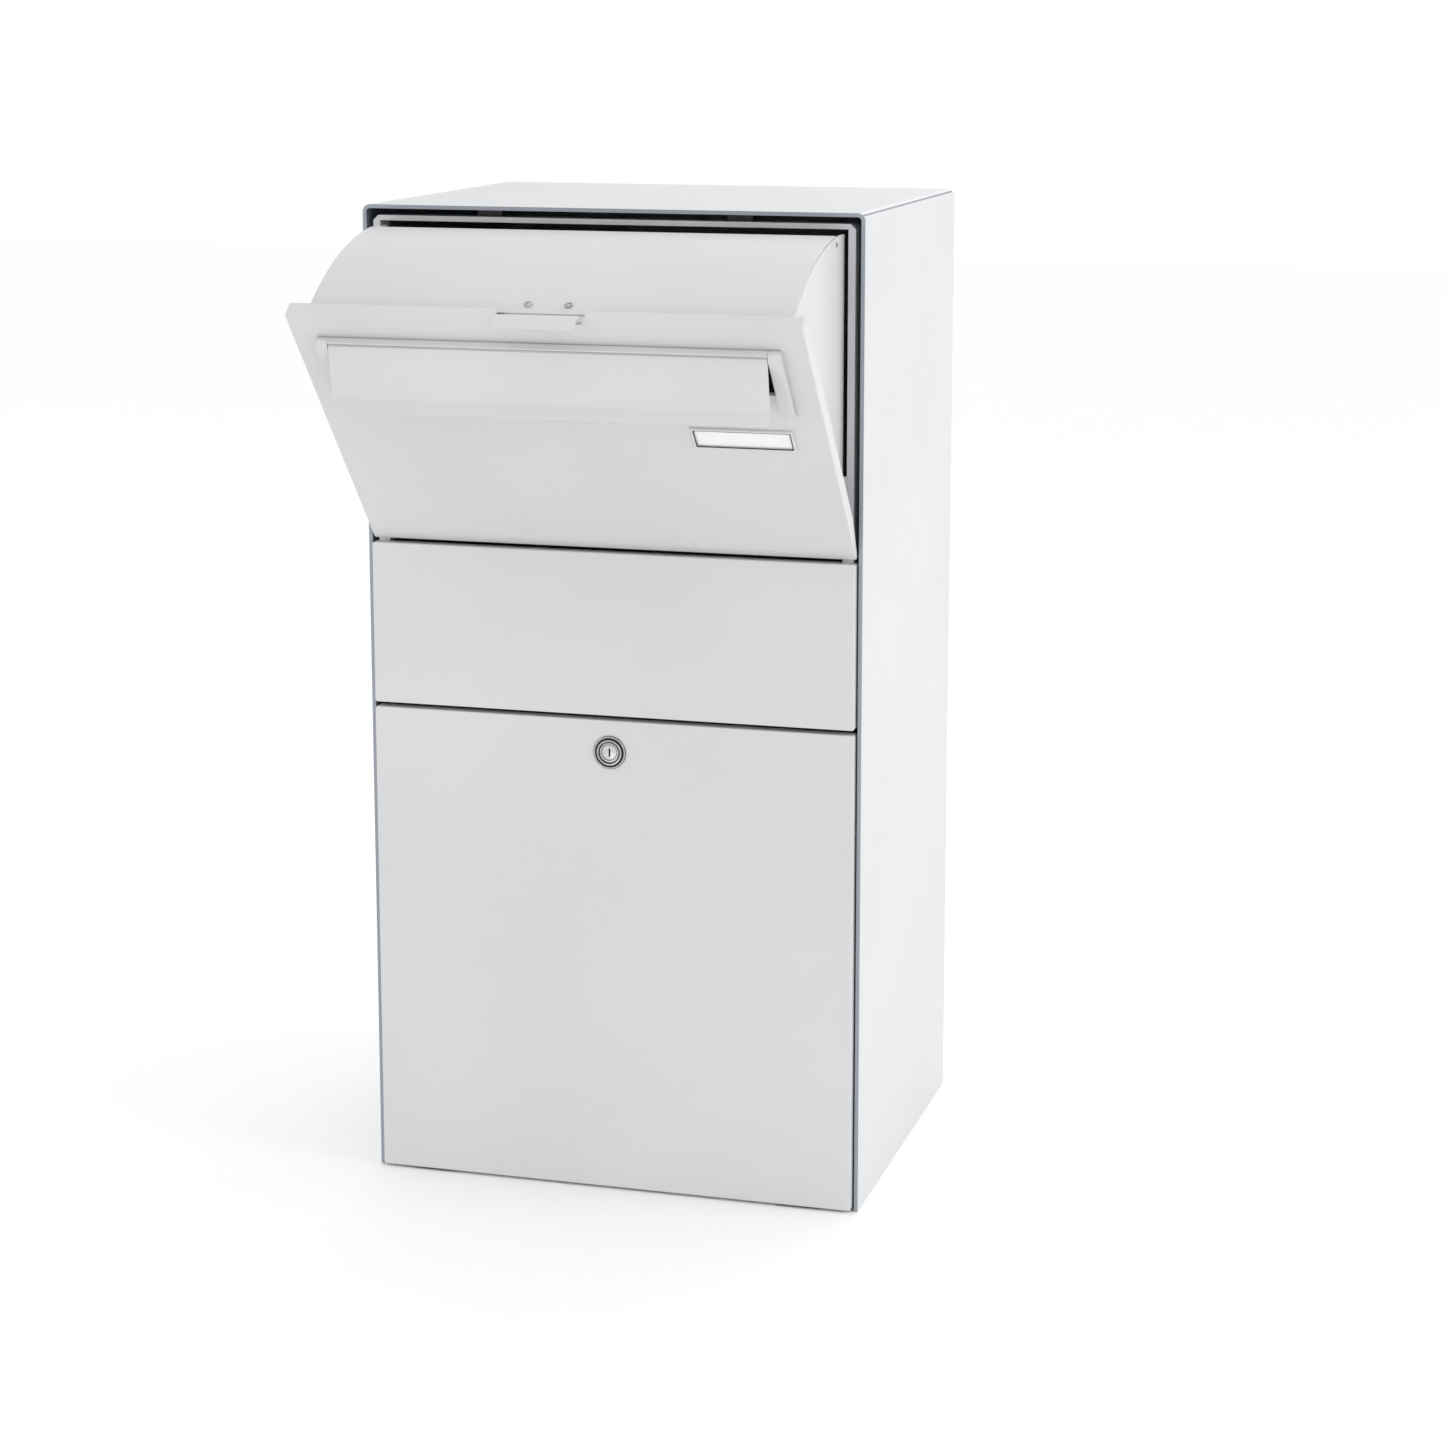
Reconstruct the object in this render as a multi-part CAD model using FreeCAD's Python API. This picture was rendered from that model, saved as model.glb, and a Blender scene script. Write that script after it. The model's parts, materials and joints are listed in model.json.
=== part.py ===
import FreeCAD, Part
import math
import os
from FreeCAD import Vector

# Parcel locker: a free-standing sheet-steel cabinet with a tilting deposit hopper on top and a
# locked collection door below. Millimetres. X is the width, Y runs back, Z is up, and the origin
# is at the middle of the base. The hopper is modelled shut and then tilted open about its pins,
# which is how the part is stored; the lid lies shut on the hopper.

# ---- driving dimensions -------------------------------------------------------------------
WIDTH = 400.0
HEIGHT = 780.0
DEPTH = 320.0
SHEET = 1.5
CASING_RADIUS = 6.0
HEM_DEPTH = 12.0
REAR_FLANGE = 15.0
BACK_PANEL_GAP = 0.5
BASE_UPSTAND = 20.0
RIVET_RADIUS = 1.6
RIVET_TAIL_RADIUS = 2.4
RIVET_TAIL = 0.8
RIVET_INSET = 7.0
RIVET_END = 60.0
RIVET_ROWS = 4

PANEL_PROUD = 5.5
PANEL_SIDE_GAP = 1.6
PANEL_FLANGE = 12.0
PANEL_CORNER = 2.0
PANEL_BEND = 1.0
DOOR_BOTTOM = 2.0
DOOR_GAP = 3.8
FASCIA_HEIGHT = 128.5
FASCIA_LIP = 10.0
FASCIA_SCREW_INSET = 30.0
FASCIA_SCREW_RADIUS = 2.0
FASCIA_SCREW_HEAD_RADIUS = 3.5
FASCIA_BRACKET_DEPTH = 27.0
FLAP_GAP = 4.5
FLAP_HEIGHT = 253.5
FLAP_TOP_GAP = 6.0

BAFFLE_REAR = 82.0
BAFFLE_UPSTAND = 20.0
BAFFLE_FALL = 38.0
BAFFLE_LIP = 12.0
BAFFLE_FRONT_SHARE = 0.64

FRAME_SIDE_CLEARANCE = 1.7
FRAME_BAR = 5.6
FRAME_TOP_BAR = 4.0
FRAME_TOP_DROP = 8.3
FRAME_SETBACK = 2.4
FRAME_DEPTH = 20.0
FRAME_WALL = 1.2
FRAME_CHAMFER = 4.0
SPACER_SETBACK = 13.0
SPACER_DEPTH = 7.0
SPACER_HALF = 8.0
SPACER_TOP_HALF = 10.0

HOPPER_TILT = 41.0
PIVOT_ABOVE_FLAP_EDGE = 7.0
PIVOT_PIN_RADIUS = 2.5
PIVOT_PIN_CLEARANCE = 0.05
PIVOT_HEAD_RADIUS = 3.5
BUSH_RADIUS = 3.2
BUSH_FLANGE = 0.5
BUSH_END_GAP = 0.1
BRACKET_SHEET = 3.0
BRACKET_DEPTH = 14.0
BRACKET_NOSE_RADIUS = 3.4
BRACKET_ABOVE_PIVOT = 9.5
STOP_ABOVE_PIVOT = 32.5
STOP_HEIGHT = 22.0
CHEEK_REAR = 5.0
CHEEK_FLANGE = 12.0
FLOOR_START = 48.0
FLOOR_END = 42.0

LID_SHEET = 1.2
LID_SEAT_GAP = 0.8
LID_FRONT_ANGLE = 2.5
LID_REAR_ANGLE = 35.0
LID_PIVOT_ANGLE = 36.3
LID_PIVOT_DROP = 5.5
LID_PIVOT_RADIUS = 2.0
LID_EAR_RADIUS = 6.0
LID_EAR_GAP = 0.4
LID_EAR_ANGLE = 2.2
CLIP_WIDTH = 62.0
CLIP_SCREW_SPACING = 30.5
CLIP_NUT_HEIGHT = 1.4
CLIP_OVERLAP_ANGLE = 3.9
CLIP_HEEL_GAP = 1.3
CLIP_LEAN = 2.5
CLIP_TONGUE = 14.3
RUNNING_GAP = 0.3

SLOT_HALF_WIDTH = 167.5
SLOT_BELOW_TOP = 36.5
SLOT_HEIGHT = 32.0
SLOT_CORNER = 3.0
LETTER_FRAME_HALF_WIDTH = 176.0
LETTER_CAP_WIDTH = 9.0
LETTER_CAP_PROUD = 8.0
LETTER_CAP_HEIGHT = 77.0
LETTER_CAP_WALL = 1.2
LETTER_FRAME_BELOW_TOP = 21.5
LETTER_RAIL_WIDTH = 8.0
LETTER_AXLE_PROUD = 4.5
LETTER_AXLE_BELOW_TOP = 6.0
LETTER_AXLE_RADIUS = 1.5
LETTER_FLAP_DROP = 39.5
LETTER_FLAP_SHEET = 1.2
LETTER_FLAP_HANG = 31.0
LETTER_FLAP_END_GAP = 0.5
LETTER_KNUCKLE_SPACING = 130.0
LETTER_KNUCKLE_HALF = 20.0

NAME_PLATE_RIGHT = 170.0
NAME_PLATE_WIDTH = 78.0
NAME_PLATE_BELOW_TOP = 107.5
NAME_PLATE_HEIGHT = 22.0
NAME_PLATE_PROUD = 2.0
NAME_PLATE_RIM = 1.6
NAME_PLATE_BORDER = 3.0
LABEL_THICK = 0.4

LOCK_BELOW_DOOR_TOP = 25.2
LOCK_ROSETTE_RADIUS = 13.2
LOCK_ROSETTE_PROUD = 2.0
LOCK_NUT_THICK = 4.0
LOCK_NUT_FLATS = 24.0
LOCK_BARREL_RADIUS = 9.5
LOCK_PLUG_RADIUS = 7.0
LOCK_CLEARANCE = 0.05
PLUG_HEAD_PROUD = 1.4
PLUG_RIM = 1.0
PLUG_RECESS = 1.2
KEYWAY_WIDTH = 1.6
KEYWAY_HEIGHT = 7.0
KEEPER_HALF = 15.0
KEEPER_HEIGHT = 17.0
CAM_REACH = 42.0
CAM_WIDTH = 16.0
CAM_SHEET = 2.5
CAM_GAP = 1.0
CAM_TAIL = 4.0
CAM_SCREW_RADIUS = 2.0

DOOR_PIN_SETBACK = 1.0
DOOR_PIN_HEIGHT = 14.0
DOOR_PIN_RADIUS = 3.0
DOOR_PIN_CLEARANCE = 0.06
DOOR_HINGE_X = 152.5
DOOR_KNUCKLE = 25.0
DOOR_EAR_SHEET = 3.2
DOOR_EAR_GAP = 0.3
DOOR_EAR_RADIUS = 4.5
DOOR_PIN_HEAD = 2.0
DOOR_LEAF_WING = 10.0
DOOR_LEAF_TOP = 50.0
DOOR_LEAF_BEND = 24.0

ANCHOR_SPACING_X = 300.0
ANCHOR_SPACING_Y = 200.0
ANCHOR_RADIUS = 4.5
WALL_SPACING_X = 280.0
WALL_SPACING_Z = 480.0
WALL_RADIUS = 4.5

# ---- places that follow from them ---------------------------------------------------------
HALF = WIDTH / 2
FRONT = -DEPTH / 2
BACK = DEPTH / 2
INNER_HALF = HALF - SHEET
INNER_TOP = HEIGHT - SHEET
FACE_Y = FRONT - PANEL_PROUD
PANEL_IN_Y = FACE_Y + SHEET
PANEL_EDGE_Y = FACE_Y + PANEL_FLANGE
PANEL_HALF = HALF - 2 * SHEET - PANEL_SIDE_GAP
BACK_PANEL_FRONT = BACK - 2 * SHEET

FLAP_TOP = HEIGHT - FLAP_TOP_GAP
FLAP_BOTTOM = FLAP_TOP - FLAP_HEIGHT
FASCIA_TOP = FLAP_BOTTOM - FLAP_GAP
FASCIA_BOTTOM = FASCIA_TOP - FASCIA_HEIGHT
DOOR_TOP = FASCIA_BOTTOM - DOOR_GAP

FRAME_OUTER = PANEL_HALF - SHEET - FRAME_SIDE_CLEARANCE
FRAME_INNER = FRAME_OUTER - FRAME_BAR
FRAME_FRONT = FRONT + FRAME_SETBACK
FRAME_TOP = HEIGHT - FRAME_TOP_DROP
BAR_UNDERSIDE = FRAME_TOP - FRAME_TOP_BAR

PIVOT_Z = FLAP_BOTTOM + PIVOT_ABOVE_FLAP_EDGE
CHEEK_OUTER = FRAME_INNER - BRACKET_SHEET - BUSH_FLANGE - BUSH_END_GAP
CHEEK_INNER = CHEEK_OUTER - SHEET
SWING_RADIUS = BAR_UNDERSIDE - PIVOT_Z
LID_OUTER_RADIUS = SWING_RADIUS - RUNNING_GAP - CLIP_NUT_HEIGHT
LID_RADIUS = LID_OUTER_RADIUS - LID_SHEET
CHEEK_RADIUS = LID_RADIUS - LID_SEAT_GAP
LID_PIVOT_R = CHEEK_RADIUS - LID_PIVOT_DROP
EAR_OUTER = CHEEK_INNER - LID_EAR_GAP
EAR_INNER = EAR_OUTER - SHEET

SLOT_HIGH = FLAP_TOP - SLOT_BELOW_TOP
SLOT_LOW = SLOT_HIGH - SLOT_HEIGHT
LETTER_FRAME_TOP = FLAP_TOP - LETTER_FRAME_BELOW_TOP
LETTER_CAP_LOW = LETTER_FRAME_TOP - LETTER_CAP_HEIGHT
LETTER_CAP_Y = FACE_Y - LETTER_CAP_PROUD
LETTER_AXLE_Y = FACE_Y - LETTER_AXLE_PROUD
LETTER_AXLE_Z = LETTER_FRAME_TOP - LETTER_AXLE_BELOW_TOP
LETTER_INNER = LETTER_FRAME_HALF_WIDTH - LETTER_CAP_WIDTH

LOCK_Z = DOOR_TOP - LOCK_BELOW_DOOR_TOP
DOOR_PIN_Y = FRONT + DOOR_PIN_SETBACK
CAM_Y = PANEL_EDGE_Y + CAM_GAP


# ---- helpers ------------------------------------------------------------------------------
def box(x0, x1, y0, y1, z0, z1):
    return Part.makeBox(x1 - x0, y1 - y0, z1 - z0, Vector(x0, y0, z0))


def rod_x(x0, x1, y, z, radius):
    return Part.makeCylinder(radius, x1 - x0, Vector(x0, y, z), Vector(1, 0, 0))


def rod_y(x, y0, y1, z, radius):
    return Part.makeCylinder(radius, y1 - y0, Vector(x, y0, z), Vector(0, 1, 0))


def rod_z(x, y, z0, z1, radius):
    return Part.makeCylinder(radius, z1 - z0, Vector(x, y, z0), Vector(0, 0, 1))


def prism_x(outline, x0, x1):
    """A solid with an outline of (y, z) points, from x0 to x1."""
    points = [Vector(x0, y, z) for y, z in outline]
    face = Part.Face(Part.makePolygon(points + points[:1]))
    return face.extrude(Vector(x1 - x0, 0, 0))


def prism_y(outline, y0, y1):
    """A solid with an outline of (x, z) points, from y0 to y1."""
    points = [Vector(x, y0, z) for x, z in outline]
    face = Part.Face(Part.makePolygon(points + points[:1]))
    return face.extrude(Vector(0, y1 - y0, 0))


def bent_sheet(path, thickness, x0, x1):
    """A folded sheet: one face follows the (y, z) path, the other lies to the path's left."""
    normals = []
    for (ya, za), (yb, zb) in zip(path, path[1:]):
        length = math.hypot(yb - ya, zb - za)
        normals.append((-(zb - za) / length, (yb - ya) / length))
    offset = []
    for index, (y, z) in enumerate(path):
        before = normals[max(index - 1, 0)]
        after = normals[min(index, len(normals) - 1)]
        scale = thickness / (1 + before[0] * after[0] + before[1] * after[1])
        offset.append((y + (before[0] + after[0]) * scale, z + (before[1] + after[1]) * scale))
    return prism_x(path + offset[::-1], x0, x1)


def hexagon_y(x, y0, y1, z, across_flats):
    """A hexagonal prism along Y."""
    radius = across_flats / math.sqrt(3)
    outline = []
    for corner in range(6):
        angle = math.radians(60 * corner)
        outline.append((x + radius * math.cos(angle), z + radius * math.sin(angle)))
    return prism_y(outline, y0, y1)


def mirrored(shape):
    return shape.mirror(Vector(0, 0, 0), Vector(1, 0, 0))


def pair(shape):
    """The shape and its mirror image, as two separate solids."""
    return Part.makeCompound([shape, mirrored(shape)])


def edges_where(shape, test):
    """The edges whose every vertex passes the test."""
    return [edge for edge in shape.Edges if all(test(v.Point) for v in edge.Vertexes)]


def along_y(edge):
    start, end = edge.Vertexes[0].Point, edge.Vertexes[-1].Point
    return abs(start.x - end.x) < 1e-6 and abs(start.z - end.z) < 1e-6


def arch(half, top, radius, thickness, y0, y1):
    """A folded sheet over the left, top and right, open below, with rounded outer corners."""
    outer = box(-half, half, y0, y1, 0, top)
    corners = [e for e in edges_where(outer, lambda p: p.z > top - 1e-6) if along_y(e)]
    outer = outer.makeFillet(radius, corners)
    inner = box(-half + thickness, half - thickness, y0 - 1, y1 + 1, -1, top - thickness)
    inner_radius = radius - thickness
    if inner_radius > 0:
        level = top - thickness - 1e-6
        corners = [e for e in edges_where(inner, lambda p: p.z > level) if along_y(e)]
        inner = inner.makeFillet(inner_radius, corners)
    return outer.cut(inner)


def tray(z0, z1, side_depth):
    """A front panel: a flat face with flanges folded back on all four sides."""
    edge_y = FACE_Y + side_depth
    outer = box(-PANEL_HALF, PANEL_HALF, FACE_Y, edge_y, z0, z1)
    corners = [e for e in outer.Edges if along_y(e)]
    outer = outer.makeFillet(PANEL_CORNER, corners)
    rim = edges_where(outer, lambda p: abs(p.y - FACE_Y) < 1e-6)
    outer = outer.makeFillet(PANEL_BEND, rim)
    inner_half = PANEL_HALF - SHEET
    inner = box(-inner_half, inner_half, PANEL_IN_Y, edge_y + 1, z0 + SHEET, z1 - SHEET)
    return outer.cut(inner)


def polar(radius, degrees):
    """A point at a radius from the hopper pins, at an angle back from straight up."""
    angle = math.radians(degrees)
    return (FRONT + radius * math.sin(angle), PIVOT_Z + radius * math.cos(angle))


def from_open(y, z):
    """A place of the open hopper, measured from its pins, in the shut hopper's frame."""
    angle = math.radians(HOPPER_TILT)
    return (FRONT + y * math.cos(angle) + z * math.sin(angle),
            PIVOT_Z - y * math.sin(angle) + z * math.cos(angle))


def ring_sector(inner, outer, start, end, x0, x1):
    """A curved plate about the hopper pins, between two radii and two angles."""
    middle = (start + end) / 2
    edges = []
    for radius in (outer, inner):
        ends = [Vector(x0, *polar(radius, angle)) for angle in (start, middle, end)]
        edges.append(Part.Arc(*ends).toShape())
    for angle in (start, end):
        a, b = Vector(x0, *polar(inner, angle)), Vector(x0, *polar(outer, angle))
        edges.append(Part.makeLine(a, b))
    face = Part.Face(Part.Wire(Part.__sortEdges__(edges)))
    return face.extrude(Vector(x1 - x0, 0, 0))


def tilted(shape):
    """A piece of the hopper, turned from shut to open."""
    moved = shape.copy()
    moved.rotate(Vector(0, FRONT, PIVOT_Z), Vector(1, 0, 0), HOPPER_TILT)
    return moved


# ---- cabinet ------------------------------------------------------------------------------
def casing():
    shell = arch(HALF, HEIGHT, CASING_RADIUS, SHEET, FRONT, BACK)
    hem = arch(INNER_HALF, INNER_TOP, CASING_RADIUS - SHEET, SHEET, FRONT, FRONT + HEM_DEPTH)
    flange_width = REAR_FLANGE - SHEET
    rear = arch(INNER_HALF, INNER_TOP, CASING_RADIUS - SHEET, flange_width, BACK - SHEET, BACK)
    return shell.fuse([hem, rear]).removeSplitter()


def back_panel():
    half = INNER_HALF - BACK_PANEL_GAP
    plate = box(-half, half, BACK_PANEL_FRONT, BACK - SHEET, SHEET, INNER_TOP - CASING_RADIUS)
    middle = HEIGHT / 2
    for x in (-WALL_SPACING_X / 2, WALL_SPACING_X / 2):
        for z in (middle - WALL_SPACING_Z / 2, middle + WALL_SPACING_Z / 2):
            plate = plate.cut(rod_y(x, BACK_PANEL_FRONT - 1, BACK, z, WALL_RADIUS))
    return plate


def base_plate():
    front = FRONT + HEM_DEPTH
    plate = box(-INNER_HALF, INNER_HALF, front, BACK_PANEL_FRONT, 0, SHEET)
    wall_front = front + 1
    side = box(INNER_HALF - SHEET, INNER_HALF, wall_front, BACK_PANEL_FRONT, 0, BASE_UPSTAND)
    rear = box(-INNER_HALF, INNER_HALF, BACK_PANEL_FRONT - SHEET, BACK_PANEL_FRONT, 0, BASE_UPSTAND)
    plate = plate.fuse([side, mirrored(side), rear]).removeSplitter()
    for x in (-ANCHOR_SPACING_X / 2, ANCHOR_SPACING_X / 2):
        for y in (-ANCHOR_SPACING_Y / 2, ANCHOR_SPACING_Y / 2):
            plate = plate.cut(rod_z(x, y, -1, SHEET + 1, ANCHOR_RADIUS))
    return plate


def rivet_places():
    step = (HEIGHT - 2 * RIVET_END) / (RIVET_ROWS - 1)
    heights = [RIVET_END + row * step for row in range(RIVET_ROWS)]
    return [(x, z) for x in (-INNER_HALF + RIVET_INSET, INNER_HALF - RIVET_INSET) for z in heights]


def rear_rivets():
    tail_y = BACK_PANEL_FRONT - RIVET_TAIL
    rivets = []
    for x, z in rivet_places():
        shank = rod_y(x, tail_y, BACK, z, RIVET_RADIUS)
        tail = rod_y(x, tail_y, BACK_PANEL_FRONT, z, RIVET_TAIL_RADIUS)
        rivets.append(shank.fuse(tail).removeSplitter())
    return Part.makeCompound(rivets)


def rivet_holes(shape):
    """Holes for the rear rivets through one of the two sheets that they join."""
    for x, z in rivet_places():
        shape = shape.cut(rod_y(x, BACK_PANEL_FRONT - 1, BACK + 1, z, RIVET_RADIUS))
    return shape


FASCIA_DEPTH = PANEL_PROUD + HEM_DEPTH + 1
FASCIA_REAR = FACE_Y + FASCIA_DEPTH
LIP_INNER = PANEL_HALF - SHEET - FASCIA_LIP
LIP_MIDDLE = LIP_INNER + FASCIA_LIP / 2
FASCIA_SCREW_Z = (FASCIA_BOTTOM + FASCIA_SCREW_INSET, FASCIA_TOP - FASCIA_SCREW_INSET)


def middle_fascia():
    panel = tray(FASCIA_BOTTOM, FASCIA_TOP, FASCIA_DEPTH)
    inner_half = PANEL_HALF - SHEET
    for z0, z1 in ((FASCIA_BOTTOM - 1, FASCIA_BOTTOM + SHEET), (FASCIA_TOP - SHEET, FASCIA_TOP + 1)):
        panel = panel.cut(box(-inner_half, inner_half, PANEL_EDGE_Y, FASCIA_REAR + 1, z0, z1))
    lip = box(LIP_INNER, inner_half, FASCIA_REAR - SHEET, FASCIA_REAR,
              FASCIA_BOTTOM + FASCIA_LIP, FASCIA_TOP - FASCIA_LIP)
    panel = panel.fuse([lip, mirrored(lip)]).removeSplitter()
    for x in (-LIP_MIDDLE, LIP_MIDDLE):
        for z in FASCIA_SCREW_Z:
            panel = panel.cut(rod_y(x, FASCIA_REAR - 3, FASCIA_REAR + 1, z, FASCIA_SCREW_RADIUS))
    return panel


def fascia_brackets():
    low, high = FASCIA_BOTTOM + FASCIA_SCREW_INSET / 2, FASCIA_TOP - FASCIA_SCREW_INSET / 2
    leg_rear = FASCIA_REAR + FASCIA_BRACKET_DEPTH
    leg = box(INNER_HALF - SHEET, INNER_HALF, FASCIA_REAR, leg_rear, low, high)
    web = box(LIP_INNER, INNER_HALF, FASCIA_REAR, FASCIA_REAR + SHEET, low, high)
    bracket = leg.fuse(web).removeSplitter()
    for z in FASCIA_SCREW_Z:
        hole = rod_y(LIP_MIDDLE, FASCIA_REAR - 1, FASCIA_REAR + 3, z, FASCIA_SCREW_RADIUS)
        bracket = bracket.cut(hole)
    return pair(bracket)


def fascia_screws():
    screws = []
    for x in (-LIP_MIDDLE, LIP_MIDDLE):
        for z in FASCIA_SCREW_Z:
            seat = FASCIA_REAR + SHEET
            shank = rod_y(x, FASCIA_REAR - 4, seat, z, FASCIA_SCREW_RADIUS)
            head = rod_y(x, seat, seat + 2.4, z, FASCIA_SCREW_HEAD_RADIUS)
            screws.append(shank.fuse(head).removeSplitter())
    return Part.makeCompound(screws)


def opening_frame():
    chamfer = FRAME_CHAMFER
    outline = [(-FRAME_OUTER, FASCIA_TOP), (-FRAME_OUTER, FRAME_TOP - chamfer),
               (-FRAME_OUTER + chamfer, FRAME_TOP), (FRAME_OUTER - chamfer, FRAME_TOP),
               (FRAME_OUTER, FRAME_TOP - chamfer), (FRAME_OUTER, FASCIA_TOP),
               (FRAME_INNER, FASCIA_TOP), (FRAME_INNER, BAR_UNDERSIDE),
               (-FRAME_INNER, BAR_UNDERSIDE), (-FRAME_INNER, FASCIA_TOP)]
    frame = prism_y(outline, FRAME_FRONT, FRAME_FRONT + FRAME_DEPTH)
    groove_y = FRAME_FRONT + FRAME_WALL
    end_y = FRAME_FRONT + FRAME_DEPTH + 1
    groove = box(FRAME_INNER + FRAME_WALL, FRAME_OUTER - FRAME_WALL, groove_y, end_y,
                 FASCIA_TOP - 1, FRAME_TOP - chamfer - FRAME_WALL)
    return frame.cut(groove).cut(mirrored(groove))


def frame_spacers():
    y0 = FRONT + SPACER_SETBACK
    y1 = y0 + SPACER_DEPTH
    spacers = []
    span = FRAME_TOP - FASCIA_TOP
    for share in (0.12, 0.5, 0.85):
        z = FASCIA_TOP + share * span
        block = box(FRAME_OUTER, INNER_HALF, y0, y1, z - SPACER_HALF, z + SPACER_HALF)
        spacers += [block, mirrored(block)]
    top = box(HALF / 2 - SPACER_TOP_HALF, HALF / 2 + SPACER_TOP_HALF, y0, y1, FRAME_TOP, INNER_TOP)
    return Part.makeCompound(spacers + [top, mirrored(top)])


def hopper_pivot_bracket():
    x0, x1 = FRAME_INNER - BRACKET_SHEET, FRAME_INNER
    rear = FRONT + BRACKET_DEPTH
    nose = rod_x(x0, x1, FRONT, PIVOT_Z, BRACKET_NOSE_RADIUS)
    arm = box(x0, x1, FRONT, rear, PIVOT_Z - BRACKET_NOSE_RADIUS, PIVOT_Z + BRACKET_NOSE_RADIUS)
    plate = box(x0, x1, FRAME_FRONT + 0.6, rear, FASCIA_TOP, PIVOT_Z + BRACKET_ABOVE_PIVOT)
    bracket = nose.fuse([arm, plate]).removeSplitter()
    return bracket.cut(rod_x(x0 - 1, x1 + 1, FRONT, PIVOT_Z, PIVOT_PIN_RADIUS))


def hopper_pivot_pin():
    head_x = CHEEK_INNER - RUNNING_GAP
    head = rod_x(head_x - 1.8, head_x, FRONT, PIVOT_Z, PIVOT_HEAD_RADIUS)
    shank = rod_x(head_x - 1, FRAME_INNER, FRONT, PIVOT_Z, PIVOT_PIN_RADIUS)
    return head.fuse(shank).removeSplitter()


STOP_LOW = PIVOT_Z + STOP_ABOVE_PIVOT
STOP_HIGH = STOP_LOW + STOP_HEIGHT
STOP_TAB_FRONT = FRONT + CHEEK_REAR - SHEET


def hopper_stops():
    block = box(CHEEK_OUTER + 0.4, FRAME_INNER, FRONT + 0.3, STOP_TAB_FRONT - RUNNING_GAP,
                STOP_LOW, STOP_HIGH)
    return pair(block)


def drop_baffle():
    rear_z = FASCIA_BOTTOM + BAFFLE_REAR
    front_y = FRONT + BAFFLE_FRONT_SHARE * DEPTH
    front_z = rear_z - BAFFLE_FALL
    path = [(BACK_PANEL_FRONT, rear_z + BAFFLE_UPSTAND), (BACK_PANEL_FRONT, rear_z),
            (front_y, front_z), (front_y, front_z - BAFFLE_LIP)]
    return bent_sheet(path[::-1], SHEET, -INNER_HALF, INNER_HALF)


def lock_keeper():
    shelf_z = FASCIA_BOTTOM + SHEET
    half, reach = KEEPER_HALF, KEEPER_HEIGHT
    foot = box(-half, half, PANEL_IN_Y + 1, PANEL_EDGE_Y, shelf_z, shelf_z + SHEET)
    strike = box(-half, half, PANEL_EDGE_Y - SHEET, PANEL_EDGE_Y, shelf_z, shelf_z + reach)
    return foot.fuse(strike).removeSplitter()


EAR_LEG_Y = FRONT + 15.5
EAR_REAR_Y = FRONT + 30.0


def door_hinge_bracket():
    left = DOOR_HINGE_X - DOOR_KNUCKLE / 2 - DOOR_EAR_GAP
    right = DOOR_HINGE_X + DOOR_KNUCKLE / 2 + DOOR_EAR_GAP
    low, high = DOOR_PIN_HEIGHT - DOOR_EAR_RADIUS, DOOR_PIN_HEIGHT + DOOR_EAR_RADIUS
    pieces = []
    for x0 in (left - DOOR_EAR_SHEET, right):
        x1 = x0 + DOOR_EAR_SHEET
        pieces.append(rod_x(x0, x1, DOOR_PIN_Y, DOOR_PIN_HEIGHT, DOOR_EAR_RADIUS))
        pieces.append(box(x0, x1, DOOR_PIN_Y, EAR_REAR_Y, low, high))
        pieces.append(box(x0, x1, EAR_LEG_Y, EAR_REAR_Y, SHEET, high))
    foot = box(left - DOOR_EAR_SHEET, right + DOOR_EAR_SHEET, EAR_LEG_Y + 2.5, EAR_REAR_Y + 15,
               SHEET, SHEET + 3)
    bracket = foot.fuse(pieces).removeSplitter()
    bore = rod_x(left - DOOR_EAR_SHEET - 1, right + DOOR_EAR_SHEET + 1, DOOR_PIN_Y, DOOR_PIN_HEIGHT,
                 DOOR_PIN_RADIUS)
    return bracket.cut(bore)


def door_hinge_pins():
    reach = DOOR_KNUCKLE / 2 + DOOR_EAR_GAP + DOOR_EAR_SHEET
    x0, x1 = DOOR_HINGE_X - reach, DOOR_HINGE_X + reach
    shank = rod_x(x0, x1, DOOR_PIN_Y, DOOR_PIN_HEIGHT, DOOR_PIN_RADIUS)
    head = rod_x(x1, x1 + DOOR_PIN_HEAD, DOOR_PIN_Y, DOOR_PIN_HEIGHT, DOOR_PIN_RADIUS + 1.2)
    return pair(shank.fuse(head).removeSplitter())


# ---- door and lock ------------------------------------------------------------------------
def door_panel():
    panel = tray(DOOR_BOTTOM, DOOR_TOP, PANEL_FLANGE)
    reach = DOOR_KNUCKLE / 2 + 6
    notch = box(DOOR_HINGE_X - reach, DOOR_HINGE_X + reach, PANEL_IN_Y, PANEL_EDGE_Y + 1,
                DOOR_BOTTOM - 1, DOOR_BOTTOM + SHEET + 0.1)
    panel = panel.cut(notch).cut(mirrored(notch))
    return panel.cut(rod_y(0, FACE_Y - 1, PANEL_IN_Y + 1, LOCK_Z, LOCK_BARREL_RADIUS))


def door_stiffener():
    z = DOOR_BOTTOM + 0.5 * (DOOR_TOP - DOOR_BOTTOM)
    half = PANEL_HALF - SHEET - 4
    web = box(-half, half, PANEL_EDGE_Y - SHEET, PANEL_EDGE_Y, z - 15, z + 15)
    foot = box(-half, half, PANEL_IN_Y, PANEL_IN_Y + SHEET, z + 13.5, z + 27)
    wall = box(-half, half, PANEL_IN_Y, PANEL_EDGE_Y, z + 13.5, z + 15)
    upper = foot.fuse(wall)
    lower = upper.mirror(Vector(0, 0, z), Vector(0, 0, 1))
    return web.fuse([upper, lower]).removeSplitter()


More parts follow.
